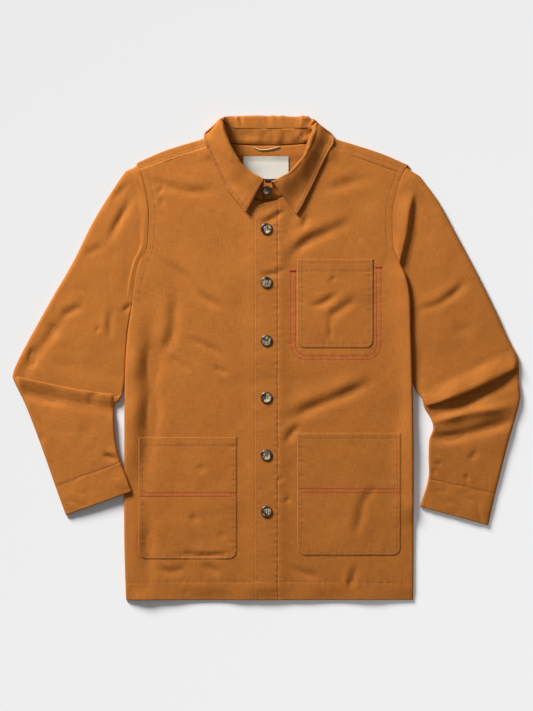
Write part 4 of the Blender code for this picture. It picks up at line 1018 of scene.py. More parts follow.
def make_back():
    """One panel pressed on the surface. Below the armpits the fronts curl down outside its edges."""
    shares = np.linspace(0.0, 1.0, 60)[None, :]
    y = fill([HEM_Y + 1.0, RIGHT_ARMPIT_Y - 40.0, YOKE_SEAM_Y - SEAM_SHOW], 8.0)[:, None]

    def inset(armpit_y):
        return mix(0.6, 1.2, ease((armpit_y + 40.0 - y) / 24.0))

    x = mix(read(RIGHT_SIDE, y) + inset(RIGHT_ARMPIT_Y), read(LEFT_SIDE, y) - inset(LEFT_ARMPIT_Y), shares)
    y = np.repeat(y, shares.shape[1], axis=1)
    cloth("back", np.stack([x, y, CLOTH + back_rise(x, y, shares)], axis=-1), CLOTH, flip=True)


YOKE_ROWS = (3.6, 9.5)     # topstitching, up from the forward seam
YOKE_TURN = 2.6            # radius of its fold over the shoulder line
YOKE_FRONT_ROWS = 8
YOKE_SEAMS = (
    *(Seam(path, 4.0, 0.12, 0.2) for path in forward_line(YOKE_ROWS[0])),
    *(Seam(path, 4.0, 0.15, 0.25) for path in forward_line(YOKE_ROWS[1])))


def yoke_front_height(x, y):
    """Top face of the strip of yoke in front of the shoulder line."""
    fall = np.clip((read(SHOULDER_LINE, x) - y) / 22.0, 0.0, 1.0)
    return mix(0.72, 1.0, fall) * body_height(x, y) + seam_height(x, y, YOKE_SEAMS) + 0.35


def shoulder(side, neck_x, count, seam_y, up, turn):
    """Columns of the yoke from armhole to neck: up its back, over the shoulder line and down in front."""
    sign = math.copysign(1.0, neck_x)
    columns = []
    for share in np.linspace(0.0, 1.0, count):
        def at(y):
            return mix(read(side, y) - sign * 0.5, neck_x, share)

        top_y = forward_y = 318.0
        for _ in range(6):
            top_y = read(SHOULDER_LINE, at(top_y))
            forward_y = straight(FORWARD_SEAM, at(forward_y)) + SEAM_SHOW
        front_y = top_y - YOKE_TURN
        ys = mix(seam_y, front_y, up)
        column = [(x, y, back_lift(x, y)) for x, y in zip(at(ys), ys)]
        height = yoke_front_height(np.array(at(front_y)), np.array(front_y))
        lift = back_lift(at(front_y), front_y)
        for angle in turn[1:]:
            y = front_y + YOKE_TURN * math.sin(angle)
            column.append((at(y), y, mix(lift, height, (1.0 - math.cos(angle)) / 2.0)))
        ys = mix(front_y, forward_y, np.linspace(0.0, 1.0, YOKE_FRONT_ROWS + 1)[1:])
        columns.append(column + list(zip(at(ys), ys, yoke_front_height(at(ys), ys))))
    return columns


def make_yoke():
    """The back of the shoulders, folded over the shoulder line as far as the forward seam."""
    seam_y = YOKE_SEAM_Y + SEAM_SHOW
    up = fill([0.0, 1.0], 1.0 / 34.0)
    turn = np.linspace(0.0, math.pi, 9)
    blank = [(np.nan, np.nan, np.nan)] * (len(turn) - 1 + YOKE_FRONT_ROWS)
    neck = []
    for x in np.linspace(-66.0, 74.0, 40):
        ys = mix(seam_y, read(BACK_NECK, x), up)
        neck.append([(x, y, back_lift(x, y)) for y in ys] + blank)
    right = shoulder(RIGHT_SIDE, NECK_RIGHT_X, 54, seam_y, up, turn)
    left = shoulder(LEFT_SIDE, NECK_LEFT_X, 58, seam_y, up, turn)[::-1]
    points = np.array(right + neck + left).swapaxes(0, 1)
    wear = seam_wear(np.nan_to_num(points[..., 0]), np.nan_to_num(points[..., 1]), YOKE_SEAMS)
    cloth("yoke", points, CLOTH, wear=wear)


# ---------------------------------------------------------------- pockets
def level_path(pocket, y0, y1, inset=1.0):
    """A line across the pocket, from y0 at its inner edge to y1 at its side."""
    sign = outward(pocket)
    return [(pocket.inner_x + sign * inset, y0), (pocket.side_x - sign * inset, y1)]


# Each pocket's hem stitching and the red rows across it, given as drops from its top
PocketRows = namedtuple("PocketRows", "pocket hems reds second_row")
POCKETS = {
    "chest_pocket": PocketRows(CHEST_POCKET, (6.0, 19.5), (), 7.6),
    "left_pocket": PocketRows(LEFT_POCKET, (8.3,), (91.0, 97.3), 6.2),
    "right_pocket": PocketRows(RIGHT_POCKET, (13.9,), (90.4, 96.5), 6.4),
}


def pocket_seams(rows):
    """The pocket's rows of stitching as seams: two round its edge, the hem and the red rows."""
    pocket = rows.pocket
    seams = [Seam(pocket_outline(pocket, 2.0), 4.0, 0.15, 0.15),
             Seam(pocket_outline(pocket, rows.second_row), 5.0, 0.25, 0.2)]
    for drop in rows.hems + rows.reds:
        y = pocket.top_y - drop
        seams.append(Seam(level_path(pocket, y, y), 4.5, 0.18, 0.22))
    return seams


def edge_distance(pocket, x, y):
    """How far a point lies inside the pocket's outline."""
    low, high = sorted((pocket.inner_x, pocket.side_x))
    corner = POCKET_CORNER
    dx = np.minimum(x - low, high - x)
    dy = y - pocket.bottom_y
    rounded = corner - np.hypot(np.maximum(corner - dx, 0.0), np.maximum(corner - dy, 0.0))
    return np.where((dx < corner) & (dy < corner), rounded, np.minimum(dx, dy))


def pocket_height(rows, x, y):
    """Top face of a pocket, thicker at its hem and slack in its middle."""
    pocket = rows.pocket
    inside = edge_distance(pocket, x, y)
    edge = np.sqrt(np.clip(inside / 1.8, 0.0, 1.0))
    hem = 0.25 * ease((y - pocket.top_y + rows.hems[-1]) / 2.0)
    slack = 0.5 * ease((inside - 8.0) / 22.0) * (0.5 + 0.5 * crumple(x, y, 34.0, 9))
    return (body_height(x, y) + POCKET_RISE - 0.7 * (1.0 - edge) + hem + slack
            + seam_height(x, y, pocket_seams(rows)))


def make_pocket(name):
    """A patch with a rounded foot, its points closer together than the front's."""
    rows = POCKETS[name]
    pocket = rows.pocket
    step = 0.7 * step_size()
    corner = POCKET_CORNER
    sign = outward(pocket)
    angles = np.linspace(0.0, math.pi / 2, 9)
    foot = pocket.bottom_y + corner * (1.0 - np.cos(angles))
    up = fill([pocket.bottom_y + corner, pocket.top_y - 1.2, pocket.top_y], step)[1:]
    y = np.concatenate([foot, up])[:, None]
    depth = np.clip((pocket.bottom_y + corner - y) / corner, 0.0, 1.0)
    cut = corner * (1.0 - np.sqrt(np.maximum(1.0 - depth ** 2, 0.0)))
    width = abs(pocket.side_x - pocket.inner_x)
    across = fill([0.0, 0.7, 2.4, width - 2.4, width - 0.7, width], step)[None, :] / width
    x = mix(pocket.inner_x + sign * cut, pocket.side_x - sign * cut, across)
    y = np.repeat(y, across.shape[1], axis=1)
    points = np.stack([x, y, pocket_height(rows, x, y)], axis=-1)
    cloth(name, points, POCKET_WALL, flip=sign > 0.0, wear=seam_wear(x, y, pocket_seams(rows)))


# ---------------------------------------------------------------- sleeves and cuffs
# turn is 1 where the tuck's fold points up the sleeve and -1 where it points down, and end_key is the row
# beside the cuff
Sleeve = namedtuple("Sleeve", "sign side outer inner folds ledges upper tuck lower cuff turn end_key ground")
SLEEVES = {
    "right_sleeve": Sleeve(
        -1.0, RIGHT_SIDE, RIGHT_SLEEVE_OUTER, RIGHT_SLEEVE_INNER, RIGHT_SLEEVE_FOLDS, RIGHT_SLEEVE_LEDGES,
        RIGHT_UPPER_STATIONS, RIGHT_TUCK_STATION, RIGHT_LOWER_STATIONS, RIGHT_CUFF_STATIONS, 1, -192.2,
        SLEEVE_GROUND),
    "left_sleeve": Sleeve(
        1.0, LEFT_SIDE, LEFT_SLEEVE_OUTER, LEFT_SLEEVE_INNER, LEFT_SLEEVE_FOLDS, LEFT_SLEEVE_LEDGES,
        LEFT_UPPER_STATIONS, LEFT_TUCK_STATION, LEFT_LOWER_STATIONS, LEFT_CUFF_STATIONS, -1, -212.3,
        SLEEVE_GROUND),
}
# A row of a sleeve, with its tuck's values. key falls from shoulder to cuff, first is 1 on the armhole itself
# and armhole is how far the row still follows the armhole's curve.
Row = namedtuple("Row", "key outer_y inner_y crown bow lift first armhole slide deep rise",
                 defaults=(0.0,) * 5)


def station_row(station, *rest):
    """A station as a row, with the tuck's values if it has any."""
    return Row((station.outer_y + station.inner_y) / 2, *station, *rest)


def coarse_rows(sleeve):
    """The sleeve's rows as its stations give them, with the tuck's rows between."""
    rows = []
    for k, s in enumerate(sleeve.upper):
        rows.append(station_row(s, float(k == 0), 1.0 - float(ease(k / ARMHOLE_STATIONS))))
    for tuck in TUCK[::sleeve.turn]:
        base = tuck.base * sleeve.turn
        s = sleeve.tuck._replace(outer_y=sleeve.tuck.outer_y - base, inner_y=sleeve.tuck.inner_y - base)
        rows.append(station_row(s, 0.0, 0.0, tuck.top * sleeve.turn - base, tuck.deep * sleeve.turn,
                                tuck.rise))
    rows += [station_row(s) for s in sleeve.lower]
    end = sleeve.lower[-1]
    hidden = end._replace(outer_y=end.outer_y - CUFF_UNDER, inner_y=end.inner_y - CUFF_UNDER,
                          crown=end.crown - 1.0)
    return rows + [station_row(hidden)]


def fine_rows(rows, keys):
    """The rows' values at other keys, each column smooth."""
    return Row(keys, *(read([(r.key, r[c]) for r in rows], keys) for c in range(1, len(Row._fields))))


def row_ends(sleeve, row):
    """Where a row of a sleeve starts and ends in x."""
    first = np.clip(row.first, 0.0, 1.0)
    beside = sleeve.sign * 1.3 * ease((row.inner_y + 48.0) / 20.0)
    return (mix(read(sleeve.outer, row.outer_y), read(sleeve.side, row.outer_y), first),
            mix(read(sleeve.inner, row.inner_y) - beside, read(sleeve.side, row.inner_y), first))


def sleeve_point(sleeve, row, share, part=None, under=False):
    """Points of a sleeve at a share of the way from its outer to its inner edge and a part of its height."""
    outer_x, inner_x = row_ends(sleeve, row)
    first = np.clip(row.first, 0.0, 1.0)
    length = np.hypot(inner_x - outer_x, row.inner_y - row.outer_y)
    top_y, low_y = sleeve.upper[0].outer_y, sleeve.upper[0].inner_y
    bulge = read(sleeve.side, mix(top_y, low_y, share)) - mix(
        read(sleeve.side, top_y), read(sleeve.side, low_y), share)
    x = mix(outer_x, inner_x, share) + row.armhole * bulge + sleeve.sign * first * (1.6 if under else -0.4)
    y = mix(row.outer_y, row.inner_y, share) + row.bow * 4.0 * share * (1.0 - share)
    relief = fold_height(x, y, sleeve.folds) + ledge_height(x, y, sleeve.ledges)
    relief = relief + ground_height(x, y, sleeve.ground)
    at_cuff = np.exp(-((row.key - sleeve.end_key - 3.0) / 9.0) ** 2)
    relief = relief + (0.15 * at_cuff + 0.2 * first) * ripple(share * length, 31)
    crown = np.maximum(row.crown + relief, THINNEST_TUBE)
    crown = mix(crown, body_height(x, y) + 0.1, first ** 2)
    lift = row.lift * share
    if under:
        return np.stack([x, y, lift + crown * part], axis=-1)
    fade = ease(np.minimum(share, 1.0 - share) * length / TUCK_FADE)
    slide = row.slide + row.deep * mix(TUCK_DEPTH_OUTER, TUCK_DEPTH_INNER, share)
    return np.stack([x, y - slide * fade, lift + crown * part + row.rise * fade], axis=-1)


EDGE_STEPS = 7             # points round each edge of a tube
LEAST_SLANT = 0.35


def tube_grid(sleeve, row, top_count, under_count):
    """Rings of a flattened tube, over the top from the outer edge to the inner one and back below."""
    outer_x, inner_x = row_ends(sleeve, row)
    length = np.hypot(inner_x - outer_x, row.inner_y - row.outer_y)[:, None]

    def slanted(edge, y):
        """How much longer the rounding is along a row that meets its edge at a slant."""
        run_x, run_y = read(edge, y - 6.0) - read(edge, y + 6.0), -12.0
        across = np.abs((inner_x - outer_x) * run_y - (row.inner_y - row.outer_y) * run_x)
        slant = across / (length[:, 0] * np.hypot(run_x, run_y))
        return 1.0 / np.maximum(slant, LEAST_SLANT)[:, None]

    outer_scale, inner_scale = slanted(sleeve.outer, row.outer_y), slanted(sleeve.inner, row.inner_y)
    row = Row(*(np.asarray(v)[:, None] for v in row))
    turn = np.linspace(0.0, math.pi / 2, EDGE_STEPS)[None, 1:]
    inset, height = 1.0 - np.cos(turn), mix(EDGE_MIDDLE, 1.0, np.sin(turn))
    start = TOP_EDGE * inset * outer_scale / length
    end = 1.0 - TOP_EDGE_INNER * inset * inner_scale / length
    middle = mix(start[:, -1:], end[:, -1:], np.linspace(0.0, 1.0, top_count)[None, 1:-1])
    edge = np.ones_like(start[:, :1])
    top_share = np.concatenate([0.0 * edge, start, middle, end[:, ::-1], edge], axis=1)
    ends = np.full((1, 1), EDGE_MIDDLE)
    top_part = np.concatenate([ends, height, np.ones((1, top_count - 2)), height[:, ::-1], ends], axis=1)
    top = sleeve_point(sleeve, row, top_share, top_part)
    start = BOTTOM_EDGE * inset * outer_scale / length
    end = 1.0 - BOTTOM_EDGE * inset * inner_scale / length
    middle = mix(end[:, -1:], start[:, -1:], np.linspace(0.0, 1.0, under_count)[None, 1:-1])
    share = np.concatenate([end, middle, start[:, ::-1]], axis=1)
    height = EDGE_MIDDLE * (1.0 - np.sin(turn))
    part = np.concatenate([height, np.zeros((1, under_count - 2)), height[:, ::-1]], axis=1)
    below = sleeve_point(sleeve, row, share, part, under=True)
    place = np.concatenate([top_share * length, (2.0 - share) * length], axis=1)
    weave = np.stack([place, np.broadcast_to(row.key, place.shape)], axis=-1)
    return np.concatenate([top, below], axis=1), weave


ROW_STEP = 2.4             # spacing of a sleeve's rows
TUCK_ROW_STEP = 0.9        # and of those in its tuck


def make_sleeve(name):
    """A flattened tube with its tuck."""
    sleeve = SLEEVES[name]
    rows = coarse_rows(sleeve)
    keys = [r.key for r in rows]
    fine = []
    for k, (a, b) in enumerate(zip(keys, keys[1:])):
        tucked = len(sleeve.upper) - 1 <= k <= len(sleeve.upper) + len(TUCK) - 1
        fine += list(fill([a, b], TUCK_ROW_STEP if tucked else ROW_STEP)[:-1])
    fine = np.array(fine + [keys[-1]])
    grid, weave = tube_grid(sleeve, fine_rows(rows, fine), 84, 16)
    cloth(name, grid, CLOTH, flip=sleeve.sign > 0.0, closed=True, weave=weave)


def make_cuff(name):
    """A short tube round the sleeve's end, its edge turned over the seam."""
    sleeve = SLEEVES[name.replace("cuff", "sleeve")]._replace(folds=(), ledges=(), ground=CUFF_GROUND)
    start = sleeve.cuff[0]
    stations = [
        start._replace(outer_y=start.outer_y + up, inner_y=start.inner_y + up, crown=start.crown + rise)
        for up, rise in ((CUFF_OVER, -0.3), (CUFF_OVER - 0.5, 0.0), (CUFF_OVER - 2.0, 0.2))]
    rows = [station_row(s) for s in stations + [s._replace(crown=s.crown + 0.3) for s in sleeve.cuff[1:]]]
    grid, weave = tube_grid(sleeve, fine_rows(rows, fill([r.key for r in rows], 1.8)), 60, 16)
    cloth(name, grid, CUFF_WALL, flip=sleeve.sign > 0.0, closed=True, weave=weave)


# ---------------------------------------------------------------- collar
COLLAR_STEP = 0.06     # from one line of points to the next, in the table's rows


def collar_column(field, axis, at):
    """One value of the collar's rows at other places along it."""
    rows = [(k, getattr(row, field) if axis is None else getattr(row, field)[axis])
            for k, row in enumerate(COLLAR_ROWS)]
    return read(rows, at)


def collar_points(field, at):
    """One of the collar's lines at other places along it."""
    return np.stack([collar_column(field, axis, at) for axis in range(3)], axis=-1)


def unit(v):
    """Vectors brought to a length of 1."""
    return v / np.maximum(np.linalg.norm(v, axis=-1, keepdims=True), 1e-9)


def collar_frame(at):
    """The collar's lines at places along it, and the directions in which its leaf leaves the roll."""
    seam, top, roll, edge = (collar_points(f, at) for f in ("seam", "top", "roll", "edge"))
    radius = collar_column("radius", None, at)[:, None]
    rise = unit(top - seam)
    join = top - rise * COLLAR_JOIN
    up, out = unit(top - roll), unit(edge - roll)
    inward, forward = unit(up + out), unit(out - up)
    low = ease(1.0 - edge[:, 2:] / 0.6)
    flat = inward * np.array([1.0, 1.0, 0.0])
    inward = unit(mix(inward, unit(flat), low))
    forward = unit(mix(forward, np.array([0.0, 0.0, -1.0]), low))
    return seam, join, rise, top, roll, edge, radius, inward, forward


BOW_PEAK = 6.75        # brings t * (1 - t) ** 2 to 1 at its highest
ROW_DENT = (0.25, 1.1) # depth and width of the groove along a row of the leaf's topstitching
DEEPEST_PLEATS = 0.66  # share of the way round the neck at which they lie, on its left


def leaf_grid(at):
    """Points of the leaf's face, from the stand over the roll to the outer edge, rounded at both tips."""
    seam, join, rise, top, roll, edge, radius, inward, forward = collar_frame(at)
    centre = roll + inward * radius
    before = centre - forward * radius
    after = centre + forward * radius
    start = join - rise * 0.6
    columns = [start, mix(start, top, 0.5), top]
    columns += [mix(top, before, share) for share in (0.5, 1.0)]
    for angle in np.linspace(-math.pi / 2, math.pi / 2, 13)[1:-1]:
        columns.append(centre - inward * radius * math.cos(angle) + forward * radius * math.sin(angle))
    rim = run(edge)
    beside = np.minimum(rim, rim[-1] - rim)
    cut = TIP_RADIUS - np.sqrt(TIP_RADIUS ** 2 - np.maximum(TIP_RADIUS - beside, 0.0) ** 2)
    length = np.linalg.norm(edge - after, axis=-1)
    near = np.array(LEAF_EDGE_STEPS)
    away = np.linspace(0.0, 1.0, 24)[None, :-1] * (length[:, None] - near[0]) / length[:, None]
    fall = np.concatenate([away, 1.0 - near[None, :] / length[:, None]], axis=1)
    fall = fall * (1.0 - cut / length)[:, None]
    outside = edge[:, 2] > LAID_HEIGHT
    bowed = BOW_PEAK * (LEAF_BELLY * fall * (1.0 - fall) ** 2 - LEAF_DIP * fall ** 2 * (1.0 - fall))
    belly = np.where(outside[:, None], bowed, 0.0)
    leaf = mix(after[:, None, :], edge[:, None, :], fall[..., None])
    leaf[..., 2] += belly
    inner = np.stack(columns, axis=1)
    grid = np.concatenate([inner, leaf], axis=1)
    from_edge = np.concatenate([np.full(inner.shape[:2], 99.0), length[:, None] * (1.0 - fall)], axis=1)
    from_front = np.broadcast_to(beside[:, None], from_edge.shape)
    dent = np.zeros(from_edge.shape)
    for row in LEAF_ROWS:
        for away in (from_edge, from_front):
            dent += ROW_DENT[0] * np.exp(-((away - row) / ROW_DENT[1]) ** 2)
    place = np.broadcast_to(rim[:, None], from_edge.shape)
    wave = 0.55 * crumple(place, from_edge + 0.4 * place, 26.0, 15)
    wave += 0.3 * crumple(place, from_edge, 12.0, 16)
    wave = wave + 0.25 * ripple(place, 17) * np.exp(-(from_edge / 8.0) ** 2)
    held = np.concatenate([np.linspace(0.0, 1.0, inner.shape[1]) ** 2, np.ones(leaf.shape[1])])[None, :]
    strong = 1.0 + 2.4 * np.exp(-((place - DEEPEST_PLEATS * rim[-1]) / 26.0) ** 2)
    pleat = strong * LEAF_PLEATS * crumple(place, 15.0 * held, 9.0, 18) * (1.0 - held) * ease(9.0 * held)
    facing = unit(np.cross(np.gradient(grid, axis=1), np.gradient(grid, axis=0)))
    up = np.where(outside, 1.0, 0.35)[:, None]
    return grid + facing * ((wave * held * up - dent * up) + pleat)[..., None]


STAND_COLUMNS = 14     # of points, from the stand's foot to its top
STAND_HEIGHT = 26.0
STAND_FOOT = (4.4, 2.0)        # height down to which its foot reaches, and by how much at most
LAP_STEPS = 9          # of points where its left end laps over the right one


def make_collar():
    """The stand round the neck, its ends lapped, and the leaf that falls from it."""
    at = fill([0.0, len(COLLAR_ROWS) - 1.0], COLLAR_STEP)
    seam, join, rise, *_ = collar_frame(at)
    shares = np.linspace(0.0, 1.0, STAND_COLUMNS)
    foot = seam - np.array([0.0, 0.0, 1.0]) * np.clip(seam[:, 2:] - STAND_FOOT[0], 0.0, STAND_FOOT[1])
    stand = np.stack([mix(mix(foot, seam, min(4.0 * share, 1.0)), join, share) for share in shares], axis=1)
    shift = np.array(STAND_LAP)
    lap = [stand[-1] + shift * share for share in np.linspace(0.0, 1.0, LAP_STEPS)[1:]]
    stand = np.concatenate([stand, np.array(lap)], axis=0)
    place = run(stand[:, 7])
    pleats = crumple(place[:, None], 18.0 * shares[None, :], 11.0, 19)
    pleats = pleats * np.sin(np.linspace(0.2, 2.9, STAND_COLUMNS))[None, :]
    strong = 1.6 + 2.0 * np.exp(-((place - DEEPEST_PLEATS * place[-1]) / 30.0) ** 2)
    facing = unit(np.cross(np.gradient(stand, axis=0), np.gradient(stand, axis=1)))
    stand = stand + facing * (strong[:, None] * pleats)[..., None]
    weave = np.stack(np.broadcast_arrays(place[:, None], STAND_HEIGHT * shares[None, :]), axis=-1)
    cloth("collar_stand", stand, STAND_WALL, weave=weave)

    leaf = leaf_grid(at)
    place = run(leaf[:, 12])
    across = run(leaf[100])
    weave = np.stack(np.broadcast_arrays(place[:, None], across[None, :]), axis=-1)
    cloth("collar_leaf", leaf, LEAF_WALL, weave=weave)


# ---------------------------------------------------------------- trim
def on_yoke(x, y):
    """The face of the yoke inside the neck."""
    return back_lift(x, y) + CLOTH


def make_flat(name, x_range, y_range, wall, finish, slot, corner=0.0):
    """A strip of ribbon on the yoke, its corners rounded."""
    y = fill([y_range[0], *(y_range[0] + corner * np.linspace(0.1, 1.0, 5)), y_range[1]], 1.5)
    y = np.unique(np.concatenate([y, y_range[0] + y_range[1] - y]))[:, None]
    near = np.maximum(corner - np.minimum(y - y_range[0], y_range[1] - y), 0.0)
    inset = corner - np.sqrt(np.maximum(corner ** 2 - near ** 2, 0.0))
    x = mix(x_range[0] + inset, x_range[1] - inset, fill([0.0, 1.0], 0.02)[None, :])
    x, y = np.broadcast_arrays(x, y)
    z = on_yoke(x, y) + LAY_GAP + wall + 0.25 * crumple(x, y, 16.0, 12)
    cloth(name, np.stack([x, y, z], axis=-1), wall, flip=True, finish=finish, slot=slot)


STRAND_RADIUS = 0.6
STRAND_SIDES = 8
STRAND_OFFSET = 0.52       # from the cord's middle
TWIST_LENGTH = 5.0         # of one whole turn of the strands


def make_loop():
    """A cord of two strands twisted together, its ends caught in the neck seam."""
    path = np.array(smooth_path(LOOP_PATH, 0.8))
    place = run(path)
    z = BACK_LIFT + CLOTH + LAY_GAP + 1.2
    along = unit(np.gradient(path, axis=0))
    side = np.column_stack([-along[:, 1], along[:, 0], np.zeros(len(path))])
    up = np.array([[0.0, 0.0, 1.0]])
    spine = np.column_stack([path, np.full(len(path), z)])
    mesh = bmesh.new()
    for strand in (0.0, math.pi):
        angle = (place * 2.0 * math.pi / TWIST_LENGTH + strand)[:, None]
        centre = spine + STRAND_OFFSET * (np.cos(angle) * side + np.sin(angle) * up)
        rings = []
        for k in range(len(path)):
            ring = [centre[k] + STRAND_RADIUS * (math.cos(a) * side[k] + math.sin(a) * up[0])
                    for a in np.linspace(0.0, 2.0 * math.pi, STRAND_SIDES + 1)[:-1]]
            rings.append([mesh.verts.new(point * MM) for point in ring])
        for lower, upper in zip(rings, rings[1:]):
            for c in range(STRAND_SIDES):
                n = (c + 1) % STRAND_SIDES
                mesh.faces.new((lower[c], lower[n], upper[n], upper[c]))
        mesh.faces.new(rings[0][::-1])
        mesh.faces.new(rings[-1])
    bmesh.ops.recalc_face_normals(mesh, faces=mesh.faces)
    data = bpy.data.meshes.new("hang_loop")
    mesh.to_mesh(data)
    mesh.free()
    settle(place_object("hang_loop_cord", data, "cord"), "loop_cord", "hang_loop")


# Half section of a button, columns: radius, height. A dished middle inside a raised rim.
BUTTON_PROFILE = (
    (0, 1.8), (3.4, 1.8), (5, 1.95), (6, 2.35), (7, 2.85), (7.8, 3), (8.6, 2.85), (9.3, 2.4), (9.75, 1.8),
    (9.6, 1.1), (9, 0.5), (7.6, 0.1), (6, 0), (0, 0))
HOLE_OFFSET = 1.75
HOLE_RADIUS = 0.95
PALE_RADIUS = 8.4          # of the button's paler middle, which fades over
PALE_FADE = 2.6
DISC_STEPS = 48
BUTTON_SINK = 0.5          # how far a button presses into the placket
THREAD_SPREAD = 0.3        # from the middle of a pair of holes to each line of thread over it
THREAD_HEIGHT = 1.7        # of those lines, up from the button's underside
HOLDING_WIDTH = 0.75       # of each line
SHARP = math.radians(42.0)


def button_mesh():
    """A turned disc with four holes. centre is 1 on its paler middle and 0 on its dark rim."""
    profile = bpy.data.meshes.new("button")
    profile.from_pydata([(r * MM, 0.0, z * MM) for r, z in BUTTON_PROFILE],
                        [(i, i + 1) for i in range(len(BUTTON_PROFILE) - 1)], [])
    blank = place_object("button_blank", profile)
    drills = bmesh.new()
    for x in (-HOLE_OFFSET, HOLE_OFFSET):
        for y in (-HOLE_OFFSET, HOLE_OFFSET):
            made = bmesh.ops.create_cone(drills, cap_ends=True, segments=16, radius1=HOLE_RADIUS * MM,
                                         radius2=HOLE_RADIUS * MM, depth=12.0 * MM)
            bmesh.ops.translate(drills, verts=made["verts"], vec=(x * MM, y * MM, 0.0))
    drill_data = bpy.data.meshes.new("drills")
    drills.to_mesh(drill_data)
    drills.free()
    drill = place_object("drills", drill_data)
    screw = blank.modifiers.new("turned", "SCREW")
    screw.steps = screw.render_steps = DISC_STEPS
    screw.use_merge_vertices = True
    screw.merge_threshold = 0.00001
    cut = blank.modifiers.new("holes", "BOOLEAN")
    cut.object = drill
    bpy.context.view_layer.update()
    finished = bpy.data.meshes.new_from_object(blank.evaluated_get(bpy.context.evaluated_depsgraph_get()))
    for made in (blank, drill):
        bpy.data.objects.remove(made)
    finished.shade_smooth()
    finished.set_sharp_from_angle(angle=SHARP)
    finished.materials.clear()
    finished.materials.append(material("horn"))
    centre = finished.attributes.new("centre", "FLOAT", "POINT")
    reach = [math.hypot(v.co.x, v.co.y) / MM for v in finished.vertices]
    pale = ease((PALE_RADIUS - np.array(reach)) / PALE_FADE)
    centre.data.foreach_set("value", pale.astype(np.float32))
    return finished


ALONG_Y = np.array([[0.0, 1.0, 0.0], [1.0, 0.0, 0.0], [0.0, 0.0, 1.0]])    # turns X and Y round


def make_buttons():
    """Each button, and the lines of thread that hold it."""
    disc = button_mesh()
    frames = []
    places = []
    steps = np.array([-BUTTON_RADIUS, 0.0, BUTTON_RADIUS])
    for number, y in enumerate(BUTTON_YS, 1):
        seat = float(placket_height(np.zeros(3), y + steps).max()) - BUTTON_SINK
        places.append(("button_%d" % number, Vector((0.0, y, seat)), 1.0, 0.0, 0.35 * math.sin(number * 2.1)))
    low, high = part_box("collar_button")
    middle = (low + high) / 2 / MM
    seam, top = COLLAR_ROWS[-1].seam, COLLAR_ROWS[-1].top
    tilt = math.atan2(top[2] - seam[2], top[1] - seam[1])
    size = COLLAR_BUTTON_RADIUS / BUTTON_RADIUS
    places.append(("collar_button", Vector((middle[0], middle[1], low[2] / MM + 2.2)), size, tilt, 0.4))
    for name, seat, scale, tilt, spin in places:
        turned = Matrix.Rotation(tilt, 4, "X") @ Matrix.Rotation(spin, 4, "Z")
        piece = place_object(name + "_disc", disc.copy())
        piece.data.transform(Matrix.Translation(seat * MM) @ turned @ Matrix.Scale(scale, 4))
        settle(piece, "horn", name)
        rotation = np.array(turned.to_3x3() * scale)
        for x in (-HOLE_OFFSET, HOLE_OFFSET):
            for shift in (-THREAD_SPREAD, THREAD_SPREAD):
                local = np.array([x + shift, 0.0, THREAD_HEIGHT])
                frames.append((rotation @ ALONG_Y, np.array(seat) + rotation @ local))
    line = grain(2.0 * HOLE_OFFSET + 1.0, HOLDING_WIDTH)
    settle(joined("button_thread", line, frames, "dark_thread"), "horn")


# ---------------------------------------------------------------- sewing
def leaf_rows():
    """Paths and facings of the topstitching round the leaf, in from its outer and front edges."""
    at = fill([0.0, len(COLLAR_ROWS) - 1.0], COLLAR_STEP)
    grid = leaf_grid(at)
    normals = unit(np.cross(np.gradient(grid, axis=1), np.gradient(grid, axis=0)))
    rows = []
    for inset in LEAF_ROWS:
        column = LEAF_EDGE_STEPS.index(inset) - len(LEAF_EDGE_STEPS)
        rows.append((grid[4:-4, column], normals[4:-4, column]))
        rim = run(grid[:, -1])
        for row in (np.searchsorted(rim, inset), np.searchsorted(rim, rim[-1] - inset)):
            rows.append((grid[row, 18:-3], normals[row, 18:-3]))
    return rows


STITCH_SHARE = 0.82    # of a tonal stitch that shows between its two holes
RED_SHARE = 0.95       # the same of a red one, which is thicker
RED_WIDTH = 1.45
BAR_PITCH = 2.6        # of the short red bars, five lines of stitches side by side
BAR_LINES = np.linspace(-0.8, 0.8, 5)
BAR_RISE = 0.2         # how far they ride on the red rows
CUFF_ROW = 3.3         # from the cuff's seam to the row on the sleeve beside it
CUFF_ROW_SHARES = np.linspace(0.03, 0.97, 120)


